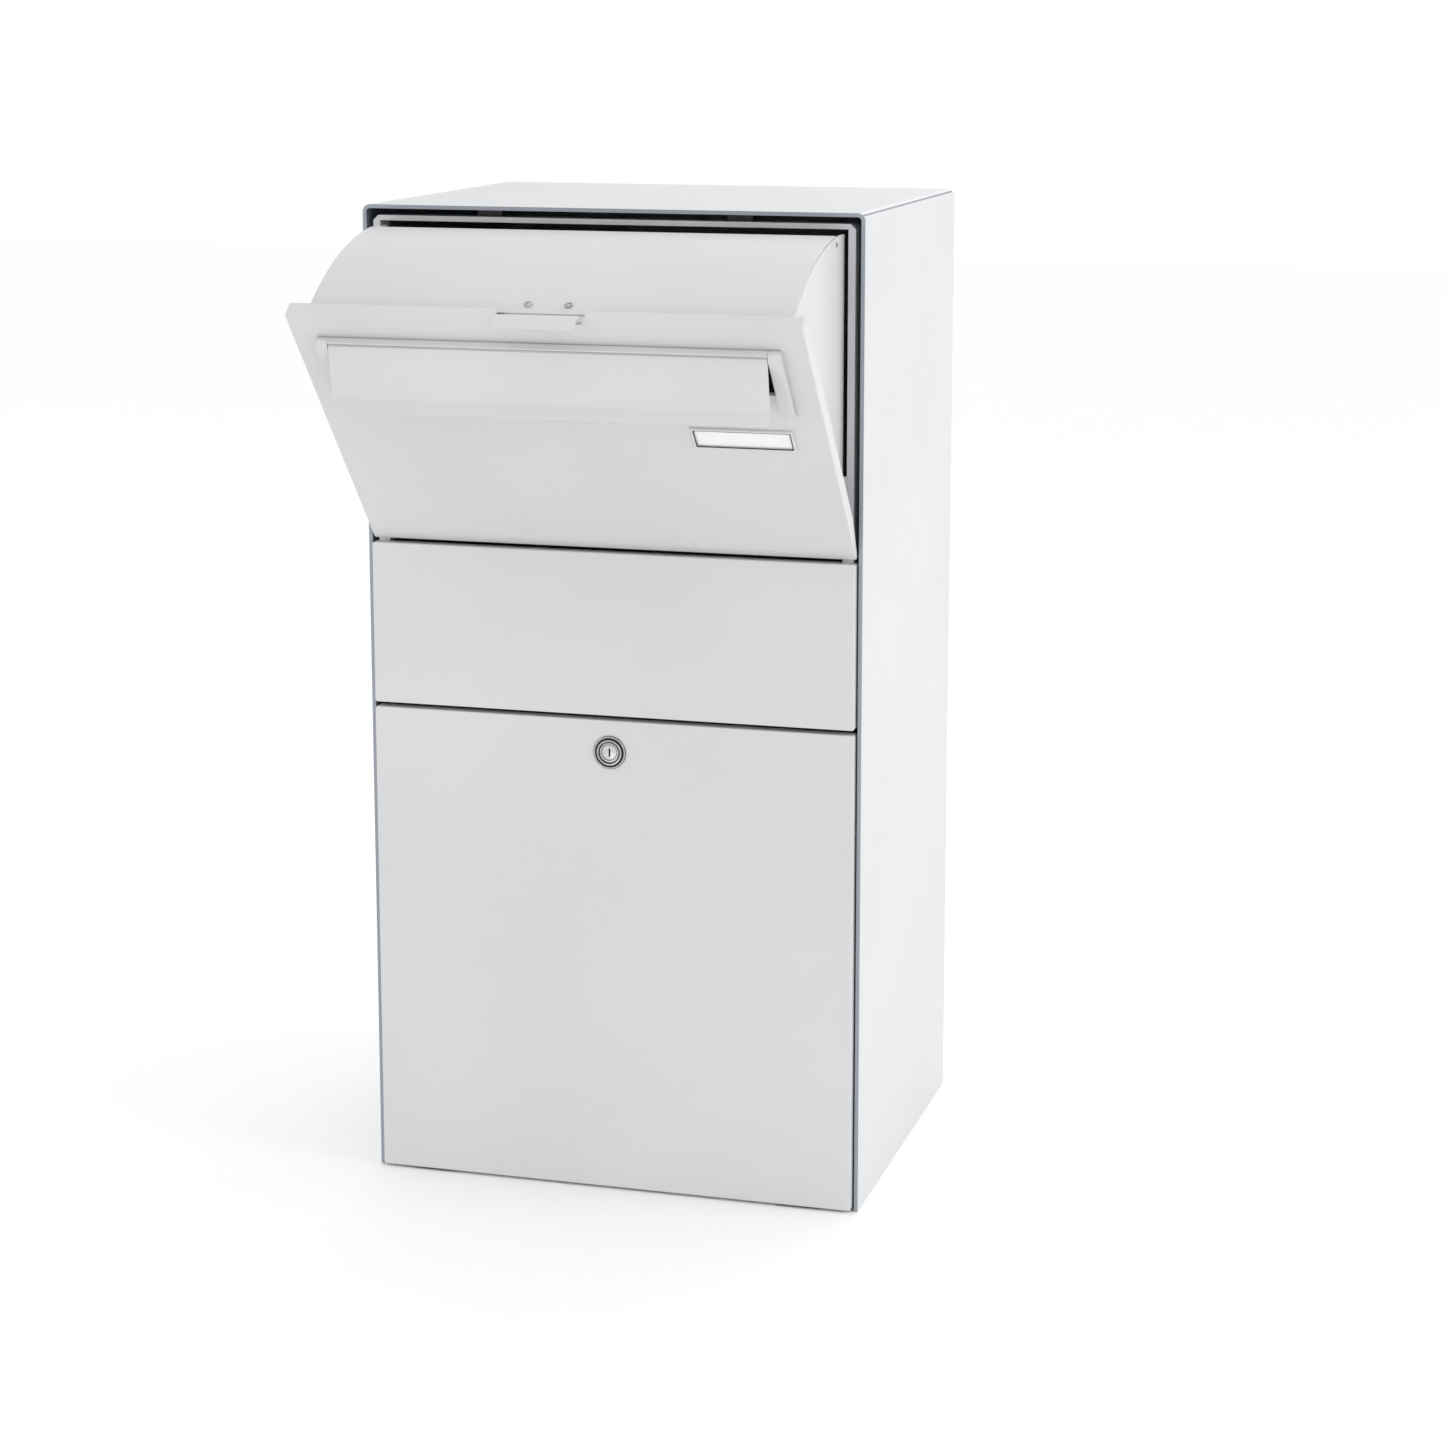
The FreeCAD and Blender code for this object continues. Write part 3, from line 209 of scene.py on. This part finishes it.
def back_panel_coat_and_shade():
    """The back panel's coat: painted shade on the face that looks into the cabinet."""
    limit = BACK - 1.5 * THICK_SHEET
    return coat_with_inner_shade("back_panel_coat_and_shade",
                      lambda shader: shader.math("LESS_THAN", shader.axis("Y"), limit)).material


# A coat that is all painted shade, for parts deep inside the cabinet.
def painted_shade_coat():
    shader = Shader("painted_shade_coat")
    coat_texture(shader)
    shader.link(painted_shade_tone(shader), "Base Color")
    return shader.material


def grey_coat():
    shader = Shader("grey_coat")
    coat_texture(shader)
    shader.link(shader.ramp(shader.noise(20, 3.0), (0.50, 0.51, 0.525), (0.58, 0.59, 0.60)),
                "Base Color")
    return shader.material


def brushed_metal(name, low, high):
    """Bare metal whose grain is drawn out along X."""
    shader = Shader(name)
    grain = shader.noise(900, 3.0, (0.05, 1, 1))
    shader.link(shader.ramp(grain, low, high), "Base Color")
    shader.link(shader.range(grain, 0.28, 0.42), "Roughness")
    shader.bump(grain, 0.03 * MM, 0.4)
    shader.set(Metallic=1.0)
    return shader.material


def zinc_plate():
    """Zinc plating, with the small crystals of its finish."""
    shader = Shader("zinc_plate")
    cells = shader.nodes.new("ShaderNodeTexVoronoi")
    cells.inputs["Scale"].default_value = 220
    shader.links.new(shader.place, cells.inputs["Vector"])
    shader.link(shader.ramp(cells.outputs["Color"], (0.42, 0.43, 0.45), (0.62, 0.63, 0.64)),
                "Base Color")
    shader.link(shader.range(shader.noise(150), 0.3, 0.5), "Roughness")
    shader.set(Metallic=1.0)
    return shader.material


def lock_chrome():
    shader = Shader("lock_chrome")
    grain = shader.noise(700, 2.0)
    shader.link(shader.ramp(grain, (0.33, 0.335, 0.345), (0.46, 0.465, 0.475)), "Base Color")
    shader.link(shader.range(grain, 0.18, 0.30), "Roughness")
    shader.set(Metallic=1.0)
    return shader.material


def dark_plastic():
    shader = Shader("black_nylon")
    shader.link(shader.ramp(shader.noise(300), (0.012, 0.012, 0.013), (0.03, 0.03, 0.032)),
                "Base Color")
    shader.link(shader.range(shader.noise(200), 0.4, 0.6), "Roughness")
    return shader.material


def black_oxide():
    shader = Shader("black_oxide")
    shader.link(shader.ramp(shader.noise(500), (0.010, 0.010, 0.012), (0.045, 0.045, 0.05)),
                "Base Color")
    shader.link(shader.range(shader.noise(350), 0.28, 0.45), "Roughness")
    shader.set(Metallic=0.7)
    return shader.material


def label_card():
    shader = Shader("label_card")
    shader.link(shader.ramp(shader.noise(1500, 4.0), (0.895, 0.895, 0.89), (0.925, 0.925, 0.92)),
                "Base Color")
    shader.bump(shader.noise(1500, 4.0), 0.02 * MM, 0.5)
    shader.set(Roughness=0.7)
    return shader.material


def clear_acrylic():
    shader = Shader("clear_acrylic")
    shader.link(shader.range(shader.noise(90), 0.03, 0.07), "Roughness")
    shader.set(Base_Color=(0.97, 0.98, 0.985, 1), Alpha=0.05, IOR=1.49)
    return shader.material


white = white_coat()
grey = grey_coat()
# The dark coat is painted shade for the inside of the cabinet.
interior_shade = painted_shade_coat()
zinc = zinc_plate()
stainless = brushed_metal("stainless", (0.50, 0.50, 0.51), (0.66, 0.66, 0.67))
aluminium = brushed_metal("satin_aluminium", (0.62, 0.63, 0.64), (0.76, 0.77, 0.78))
chrome = lock_chrome()
nylon = dark_plastic()
oxide = black_oxide()
acrylic = clear_acrylic()

materials = {
    "white_coat": white, "grey_coat": grey, "zinc_steel": zinc, "aluminium": aluminium,
    "stainless": stainless, "lock_chrome": chrome, "bush_plastic": nylon,
    "black_steel": oxide, "clear_window": acrylic, "label_card": label_card(),
}
# Nodes painted unlike the rest of their material slot, each with painted shade: the casing and back panel dark on
# their inner faces, the baffle and base plate all dark, and the frame spacers black for the shade in the gap
# behind the frame.
painted_shade_materials = {
    "casing": casing_coat_and_shade(), "back_panel": back_panel_coat_and_shade(), "drop_baffle": interior_shade,
    "base_plate": interior_shade, "frame_spacers": nylon,
}


def paint(piece, material):
    piece.data.materials.clear()
    piece.data.materials.append(material)


slots = {entry["node"]: entry["material_slot"] for entry in frame["record"]["subparts"]}
for node, piece in frame["nodes"].items():
    paint(piece, painted_shade_materials.get(node, materials[slots[node]]))

# ---- mesh helpers ---------------------------------------------------------------------------
SMOOTH_ANGLE = math.radians(40)
ARC_STEPS = 6
ROUND_STEPS = 72
FLAT_ANGLE = math.radians(0.5)
END_DEPTH = 0.1 * MM
LOBE_DEPTH = 0.16
WELD = 0.001 * MM
LEAST_ROUND = 0.01 * MM
RIM_LIMIT = 1.6
EDGE_SHARE = 0.45


def add_piece(name, bm, body, slot, replaced, *looks):
    """Turn a bmesh into a piece that stands for one CAD node and moves with a body."""
    bmesh.ops.recalc_face_normals(bm, faces=bm.faces)
    for face in bm.faces:
        face.smooth = True
    for edge in bm.edges:
        edge.smooth = len(edge.link_faces) == 2 and edge.calc_face_angle() < SMOOTH_ANGLE
    mesh = bpy.data.meshes.new(name)
    bm.to_mesh(mesh)
    bm.free()
    for look in looks:
        mesh.materials.append(look)
    piece = bpy.data.objects.new(name, mesh)
    bpy.context.scene.collection.objects.link(piece)
    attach(piece, body)
    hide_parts(replaced)


def node_mesh(node):
    """A CAD node's mesh, with the doubled points of the frame joined."""
    bm = bmesh.new()
    bm.from_mesh(frame["nodes"][node].data)
    bmesh.ops.remove_doubles(bm, verts=bm.verts, dist=WELD)
    return bm


def side_outline(node):
    """The (y, z) outline of a folded piece, read from its face that looks along +X."""
    bm = node_mesh(node)
    bmesh.ops.dissolve_limit(bm, angle_limit=FLAT_ANGLE, verts=bm.verts, edges=bm.edges)
    reach = max(vertex.co.x for vertex in bm.verts)
    ends = [face for face in bm.faces
            if face.normal.x > 0.99 and face.calc_center_median().x > reach - END_DEPTH]
    end = max(ends, key=lambda face: face.calc_area())
    outline = [Vector((vertex.co.y, vertex.co.z)) for vertex in end.verts]
    bm.free()
    return outline


def rounded(outline, sheet, bend, rim):
    """Round the folds of a sheet's outline, keeping its thickness, and ease its cut rims.

    A corner beside an edge shorter than RIM_LIMIT sheets belongs to a rim, and a round takes
    EDGE_SHARE of its shorter edge at most."""
    points = []
    for index, corner in enumerate(outline):
        into = corner - outline[index - 1]
        out = outline[(index + 1) % len(outline)] - corner
        turn = math.atan2(into.x * out.y - into.y * out.x, into.dot(out))
        short = min(into.length, out.length)
        side = 1 if turn > 0 else -1
        radius = rim if short < RIM_LIMIT * sheet else bend + max(side, 0) * sheet
        reach = min(radius * math.tan(abs(turn) / 2), EDGE_SHARE * short)
        if reach < LEAST_ROUND:
            points.append(corner)
            continue
        radius = reach / math.tan(abs(turn) / 2)
        start = corner - into.normalized() * reach
        inward = Vector((-into.y, into.x)).normalized() * side
        centre = start + inward * radius
        for step in range(ARC_STEPS + 1):
            points.append(centre + Matrix.Rotation(turn * step / ARC_STEPS, 2) @ (start - centre))
    return points


def extrude(bm, outline, x0, x1, ease):
    """A solid of one outline from x0 to x1, with its end edges eased."""
    first, last = [[bm.verts.new((x, *point)) for point in outline] for x in (x0, x1)]
    ends = [bm.faces.new(first[::-1]), bm.faces.new(last)]
    for index in range(len(outline)):
        bm.faces.new((first[index - 1], first[index], last[index], last[index - 1]))
    edges = [edge for face in ends for edge in face.edges]
    bmesh.ops.bevel(bm, geom=edges, offset=ease, segments=2, profile=0.5, affect="EDGES",
                    clamp_overlap=True)


def lathe(bm, profile, place, closed=False, dark=()):
    """Turn (radius, height) points about a frame's Z. A radius may depend on the angle.

    A closed profile joins its last point to its first, and an open one gets two flat ends. The
    spans numbered in dark take the second material."""
    rings = []
    for radius, height in profile:
        ring = []
        for step in range(ROUND_STEPS):
            angle = 2 * math.pi * step / ROUND_STEPS
            length = radius(angle) if callable(radius) else radius
            point = Vector((length * math.cos(angle), length * math.sin(angle), height))
            ring.append(bm.verts.new(place @ point))
        rings.append(ring)
    spans = list(zip(rings, rings[1:]))
    if closed:
        spans.append((rings[-1], rings[0]))
    else:
        bm.faces.new(rings[0][::-1])
        bm.faces.new(rings[-1])
    for number, (low_ring, high_ring) in enumerate(spans):
        for step in range(ROUND_STEPS):
            face = bm.faces.new((low_ring[step - 1], low_ring[step], high_ring[step],
                                 high_ring[step - 1]))
            face.material_index = 1 if number in dark else 0


def in_mm(profile):
    """Profile points in metres; a radius that is a function already gives metres."""
    return [(radius if callable(radius) else radius * MM, height * MM)
            for radius, height in profile]


def hexagon(apothem):
    """The radius of a hexagon, from its apothem in mm."""
    return lambda angle: apothem * MM / math.cos(angle % (math.pi / 3) - math.pi / 6)


def star(radius):
    """The radius of a six-lobed driver recess."""
    return lambda angle: radius * MM * (1 + LOBE_DEPTH * math.cos(6 * angle))


def rectangle(half_width, half_height):
    """The radius of a rectangle, from its half sides in mm."""
    def reach(angle):
        across = half_width * MM / max(abs(math.cos(angle)), 1e-6)
        along = half_height * MM / max(abs(math.sin(angle)), 1e-6)
        return min(across, along)
    return reach


def solids_along(node, axis):
    """For each solid of a node: a frame at its low end with Z along an axis, and its length."""
    turn = Vector(axis).to_track_quat("Z", "Y").to_matrix()
    bm = node_mesh(node)
    done = set()
    sites = []
    for start in bm.verts:
        if start in done:
            continue
        solid, waiting = set(), [start]
        while waiting:
            vertex = waiting.pop()
            if vertex in solid:
                continue
            solid.add(vertex)
            waiting += [edge.other_vert(vertex) for edge in vertex.link_edges]
        done |= solid
        local = [turn.inverted() @ vertex.co for vertex in solid]
        low_end = Vector([min(point[k] for point in local) for k in range(3)])
        high_end = Vector([max(point[k] for point in local) for k in range(3)])
        middle = (low_end + high_end) / 2
        base = turn @ Vector((middle.x, middle.y, low_end.z))
        sites.append((Matrix.Translation(base) @ turn.to_4x4(), high_end.z - low_end.z))
    bm.free()
    return sites


SCREW_TIP = 0.4


def screw(bm, place, length, head, height, shank, recess):
    """A domed screw head with painted shade on the wall of its driver recess, then its shank with an eased tip."""
    end = length / MM
    dome = [(0.62 * head, 0), (0.8 * head, 0.1 * height), (0.94 * head, 0.35 * height),
            (head, 0.7 * height), (head, height)]
    profile = [(recess, 0.6 * height), (recess, 0.06 * height), *dome, (shank, height),
               (shank, end - SCREW_TIP), (shank - SCREW_TIP, end)]
    lathe(bm, in_mm(profile), place, dark=(0,))


# ---- folded and moulded pieces --------------------------------------------------------------
SHEET_EASE = 0.15


def folded_piece(node, body, look, slot, sheet, bend, rim, like=None, ease=SHEET_EASE):
    """A folded sheet with true bend radii (in mm), in place of a CAD node with sharp folds.

    like names the node whose outline it takes, where its own is a mirror image."""
    outline = rounded(side_outline(like or node), sheet, bend * MM, rim * MM)
    low_corner, high_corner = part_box(node)
    bm = bmesh.new()
    extrude(bm, outline, low_corner.x, high_corner.x, ease * MM)
    add_piece(node + "_formed", bm, body, slot, node, look)


ROLL_RADIUS = 2.76
ROLL_BORE = 1.62
ROLL_EASE = 0.2


def letter_flap_piece():
    """The letter flap: a rounded fold at its lip and a rolled edge round the axle."""
    bm = bmesh.new()
    low_corner, high_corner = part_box("letter_flap")
    outline = rounded(side_outline("letter_flap"), THIN_SHEET, 0.7 * MM, 0.4 * MM)
    extrude(bm, outline, low_corner.x, high_corner.x, SHEET_EASE * MM)
    axle = Vector(joints["letter_flap_swing"]["pos_m"])
    turn = Matrix.Translation(axle) @ Matrix.Rotation(math.pi / 2, 4, "Y")
    end = high_corner.x / MM
    rim = ROLL_RADIUS - ROLL_EASE
    lathe(bm, in_mm([(ROLL_BORE, -end), (rim, -end), (ROLL_RADIUS, ROLL_EASE - end),
                     (ROLL_RADIUS, end - ROLL_EASE), (rim, end), (ROLL_BORE, end)]),
          turn, closed=True)
    add_piece("letter_flap_formed", bm, "letter_flap", "white_coat", "letter_flap", white)


PLATE_CORNER = 0.8 * MM
PANE_CORNER = 0.3 * MM
PANE_GAP = 0.06 * MM
PANE_EASE = 0.15 * MM


def rectangle_loop(bm, low_corner, high_corner, margin, proud, radius):
    """A rounded rectangle inside a hopper node's shut box, at a margin from its sides and
    proud of its back, turned to the open hopper."""
    points = []
    corners = ((high_corner.x, high_corner.z, 0), (low_corner.x, high_corner.z, 90),
               (low_corner.x, low_corner.z, 180), (high_corner.x, low_corner.z, 270))
    for x, z, first in corners:
        side_x = 1 if first in (0, 270) else -1
        side_z = 1 if first in (0, 90) else -1
        centre_x = x - side_x * (margin + radius)
        centre_z = z - side_z * (margin + radius)
        for step in range(ARC_STEPS + 1):
            angle = math.radians(first + 90 * step / ARC_STEPS)
            point = Vector((centre_x + radius * math.cos(angle), high_corner.y - proud,
                            centre_z + radius * math.sin(angle)))
            points.append(bm.verts.new(OPEN_HOPPER @ point))
    return points


def shut_box(node):
    """The corners of a hopper node with the hopper shut, where its sides are upright."""
    shut = [OPEN_HOPPER.inverted() @ vertex.co for vertex in frame["nodes"][node].data.vertices]
    return (Vector([min(point[k] for point in shut) for k in range(3)]),
            Vector([max(point[k] for point in shut) for k in range(3)]))


def join_loops(bm, loops, dark=()):
    """Skin a row of loops; the spans numbered in dark take the second material."""
    for number, (loop, following) in enumerate(zip(loops, loops[1:])):
        for index in range(len(loop)):
            face = bm.faces.new((loop[index - 1], loop[index], following[index],
                                 following[index - 1]))
            face.material_index = 1 if number in dark else 0


def name_plate_piece():
    """The moulded frame of the name plate, with painted shade in the recess round its window."""
    low_corner, high_corner = shut_box("name_plate_frame")
    steps = ((0, 0), (0, 1.3), (0.25, 1.75), (0.6, 1.97), (1.6, 1.97), (1.95, 1.8), (2.1, 1.5),
             (2.9, 1.46), (2.95, 1.42), (1.65, 1.42), (1.65, 0))
    bm = bmesh.new()
    loops = [rectangle_loop(bm, low_corner, high_corner, margin * MM, proud * MM, PLATE_CORNER)
             for margin, proud in steps]
    # Painted shade: these spans of the recess take the black second material.
    recess = (5, 6)
    join_loops(bm, loops + loops[:1], dark=recess)
    add_piece("name_plate_frame_moulded", bm, "hopper", "white_coat", "name_plate_frame",
              white, nylon)


def window_piece():
    """The clear pane, with eased edges and a hair's gap before the card behind it."""
    low_corner, high_corner = shut_box("name_plate_window")
    front = high_corner.y - low_corner.y
    steps = ((PANE_EASE, PANE_GAP), (0, PANE_GAP + PANE_EASE), (0, front - PANE_EASE),
             (PANE_EASE, front))
    bm = bmesh.new()
    loops = [rectangle_loop(bm, low_corner, high_corner, margin, proud, PANE_CORNER)
             for margin, proud in steps]
    join_loops(bm, loops)
    bm.faces.new(loops[0])
    bm.faces.new(loops[-1])
    add_piece("name_plate_pane", bm, "hopper", "clear_window", "name_plate_window", acrylic)


# ---- lock -----------------------------------------------------------------------------------
LOCK_PLACE = (Matrix.Translation((0, DOOR_FACE, joints["lock_turn"]["pos_m"][2]))
              @ Matrix.Rotation(math.pi / 2, 4, "X"))
THREAD_RADIUS = 9.5
THREAD_ROOT = 9.15
THREAD_START = -10.5
THREAD_RISE = 0.5
THREAD_POINTS = 18
LOCK_BORE = 7.1


def lock_body_piece():
    """The lock's rosette: a rounded outer ring, a groove with painted shade and a painted dark reflection, and a
    raised inner ring.
    """
    thread = [(THREAD_RADIUS if step % 2 else THREAD_ROOT, THREAD_START + THREAD_RISE * step)
              for step in range(THREAD_POINTS)]
    outer_ring = [(13.2, 0), (13.2, 0.6), (13.0, 1.0), (12.6, 1.35), (12.1, 1.45), (11.7, 1.3)]
    groove = [(11.5, 0.95), (11.3, 0.4), (10.4, 0.4)]
    inner_ring = [(10.3, 1.2), (10.2, 1.75), (9.95, 1.98), (9.2, 1.98), (8.75, 1.8)]
    bore = [(8.4, 1.2), (8.12, -1.0), (LOCK_BORE, -1.0), (LOCK_BORE, THREAD_START)]
    profile = [*thread, (THREAD_RADIUS, -1.4), (THREAD_RADIUS, 0), *outer_ring, *groove,
               *inner_ring, *bore]
    # Counted from the thread's end: the spans of the flange's edge, the groove and the bore's mouth, which take
    # painted shade and a painted dark reflection.
    dark = [len(thread) + number for number in (2, 3, 8, 9, 10, 11, 15, 16)]
    bm = bmesh.new()
    lathe(bm, in_mm(profile), LOCK_PLACE, closed=True, dark=dark)
    add_piece("lock_rosette", bm, "door", "lock_chrome", "lock_body", chrome, oxide)


def lock_plug_piece():
    """The turning plug: a square tail, a round body and a rimmed face with a deep recess, whose walls take painted
    shade.
    """
    tail_side = rectangle(3.95, 3.95)
    tail = [(tail_side, -15.5), (tail_side, -10.8)]
    barrel = [(6.6, -10.8), (6.95, -10.4), (6.95, -0.9)]
    rim = [(7.95, -0.9), (7.95, 1.1), (7.7, 1.36), (6.7, 1.38), (6.3, 1.2), (6.05, 0.9)]
    recess = [(6.02, 0.15), (4.6, 0.15), (4.5, -3.0)]
    bm = bmesh.new()
    # Painted shade: the recess walls take the dark second material.
    lathe(bm, in_mm(tail + barrel + rim + recess), LOCK_PLACE, dark=(10, 12))
    add_piece("lock_plug_turned", bm, "lock_core", "lock_chrome", "lock_plug", chrome, oxide)


def shutter_piece():
    """The dust shutter in the plug, dished towards its key slot."""
    slot = rectangle(0.7, 3.3)
    rim = [(5.9, 0.2), (5.9, 0.75), (5.6, 0.98), (4.9, 0.98), (4.4, 0.8)]
    bm = bmesh.new()
    lathe(bm, in_mm([*rim, (slot, 0.62), (slot, 0.2)]), LOCK_PLACE, closed=True)
    add_piece("dust_shutter_dished", bm, "lock_core", "lock_chrome", "dust_shutter", stainless)


# ---- screws and nuts ------------------------------------------------------------------------
def screws_piece(name, node, body, slot, axes, sizes, look):
    """The screws of a node, with their heads at the low end of each axis.

    With two axes along X, each serves the screws on its own side. The sizes are the head's
    radius and height and the shank's radius in mm, and the recess."""
    bm = bmesh.new()
    for axis in axes:
        for place, length in solids_along(node, axis):
            if len(axes) == 1 or place.translation.x * axis[0] > 0:
                screw(bm, place, length, *sizes)
    # The black oxide second material is painted shade in the driver recesses.
    add_piece(name, bm, body, slot, node, look, oxide)


def widest_normal(node):
    """The direction that most of a node's surface faces, taken upward."""
    areas = {}
    for polygon in frame["nodes"][node].data.polygons:
        key = tuple(round(abs(part), 3) for part in polygon.normal)
        total, _ = areas.get(key, (0, None))
        areas[key] = (total + polygon.area, polygon.normal.copy())
    normal = max(areas.values(), key=lambda entry: entry[0])[1]
    return normal if normal.z > 0 else -normal


NUT_BORE = 1.5
NUT_CHAMFER = 0.2


def clip_nuts_piece(axis):
    """The two hexagon nuts of the lid clip, chamfered at both ends."""
    bm = bmesh.new()
    end_side, side = hexagon(2.5), hexagon(2.75)
    for place, length in solids_along("clip_nuts", axis):
        top = length / MM
        lathe(bm, in_mm([(NUT_BORE, 0), (end_side, 0), (side, NUT_CHAMFER),
                         (side, top - NUT_CHAMFER), (end_side, top), (NUT_BORE, top)]),
              place, closed=True)
    add_piece("clip_nuts_hex", bm, "lid", "zinc_steel", "clip_nuts", zinc)


folded_piece("lid_clip", "lid", white, "white_coat", THICK_SHEET, bend=1.3, rim=0.4)
folded_piece("hopper_crossbar", "hopper", white, "white_coat", THICK_SHEET, bend=1.0, rim=0.3)
folded_piece("letter_frame_top_rail", "hopper", white, "white_coat", THIN_SHEET, bend=1.0,
             rim=0.4)
folded_piece("letter_frame_bottom_rail", "hopper", white, "white_coat", THICK_SHEET, bend=0.5,
             rim=0.5)
for side in ("right", "left"):
    folded_piece("letter_end_cap_" + side, "hopper", white, "white_coat", THIN_SHEET, bend=1.2,
                 rim=1.0, like="letter_end_cap_right", ease=0.7)
folded_piece("door_stiffener", "door", white, "white_coat", THICK_SHEET, bend=1.0, rim=0.3)
# The baffle takes the dark painted shade of the cabinet's inside.
folded_piece("drop_baffle", "cabinet", interior_shade, "white_coat", THICK_SHEET, bend=1.5, rim=0.3)
folded_piece("lock_keeper", "cabinet", zinc, "zinc_steel", THICK_SHEET, bend=0.8, rim=0.3)
letter_flap_piece()
name_plate_piece()
window_piece()
lock_body_piece()
lock_plug_piece()
shutter_piece()
clip_axis = widest_normal("clip_nuts")
screws_piece("clip_screws_domed", "clip_screws", "lid", "stainless", (clip_axis,),
             (3.0, 1.6, 1.5, star(1.25)), stainless)
clip_nuts_piece(clip_axis)
screws_piece("lid_pivot_screws_domed", "lid_pivot_screws", "hopper", "black_steel",
             ((1, 0, 0), (-1, 0, 0)), (3.3, 2.2, 2.0, hexagon(1.25)), oxide)
screws_piece("fascia_screws_domed", "fascia_screws", "cabinet", "zinc_steel", ((0, -1, 0),),
             (3.5, 2.4, 2.0, star(1.4)), zinc)
screws_piece("cam_screw_domed", "cam_screw", "lock_core", "zinc_steel", ((0, -1, 0),),
             (6.0, 2.5, 2.0, star(2.0)), zinc)


# ---- floor, light and camera ----------------------------------------------------------------
FLOOR_HALF = 9.0
CAMERA_PLACE = (0.757, -2.502, 0.938)
CAMERA_YAW = 15.9
CAMERA_PITCH = 10.45
CAMERA_LENS = 80.5
CAMERA_SENSOR = 36
CAMERA_SHIFT = -0.09


def floor_piece():
    mesh = bpy.data.meshes.new("floor")
    corners = [(FLOOR_HALF * x, FLOOR_HALF * y, 0) for x, y in ((-1, -1), (1, -1), (1, 1), (-1, 1))]
    mesh.from_pydata(corners, [], [(0, 1, 2, 3)])
    floor = bpy.data.objects.new("floor", mesh)
    bpy.context.scene.collection.objects.link(floor)
    shader = Shader("pale_floor")
    shader.link(shader.ramp(shader.noise(60, 3.0), (0.985, 0.985, 0.985), (0.995, 0.995, 0.995)),
                "Base Color")
    shader.set(Roughness=0.6)
    paint(floor, shader.material)


def area_light(name, place, target, size, power):
    data = bpy.data.lights.new(name, "AREA")
    data.shape = "RECTANGLE"
    data.size, data.size_y = size
    data.energy = power
    lamp = bpy.data.objects.new(name, data)
    lamp.location = place
    direction = Vector(target) - Vector(place)
    lamp.rotation_euler = direction.to_track_quat("-Z", "Y").to_euler()
    bpy.context.scene.collection.objects.link(lamp)


def set_camera():
    data = bpy.data.cameras.new("camera")
    data.lens = CAMERA_LENS
    data.sensor_width = CAMERA_SENSOR
    data.shift_y = CAMERA_SHIFT
    camera = bpy.data.objects.new("camera", data)
    camera.location = CAMERA_PLACE
    camera.rotation_euler = (math.radians(90 - CAMERA_PITCH), 0, math.radians(CAMERA_YAW))
    bpy.context.scene.collection.objects.link(camera)
    bpy.context.scene.camera = camera


floor_piece()
area_light("key", (2.6, -0.2, 1.6), target=(0.2, 0, 0.45), size=(1.6, 1.6), power=18)
area_light("fill", (-0.9, -2.1, 0.35), target=(-0.1, 0, 0.55), size=(0.7, 0.4), power=2)
area_light("back", (0.5, 2.4, 2.2), target=(0, 0, 0.5), size=(2.0, 1.5), power=10)
set_camera()

world = bpy.data.worlds.new("studio")
bpy.context.scene.world = world
world.use_nodes = True
background = world.node_tree.nodes["Background"]
background.inputs["Color"].default_value = (1, 1, 1, 1)
background.inputs["Strength"].default_value = 1.0
bpy.context.scene.view_settings.view_transform = "Standard"
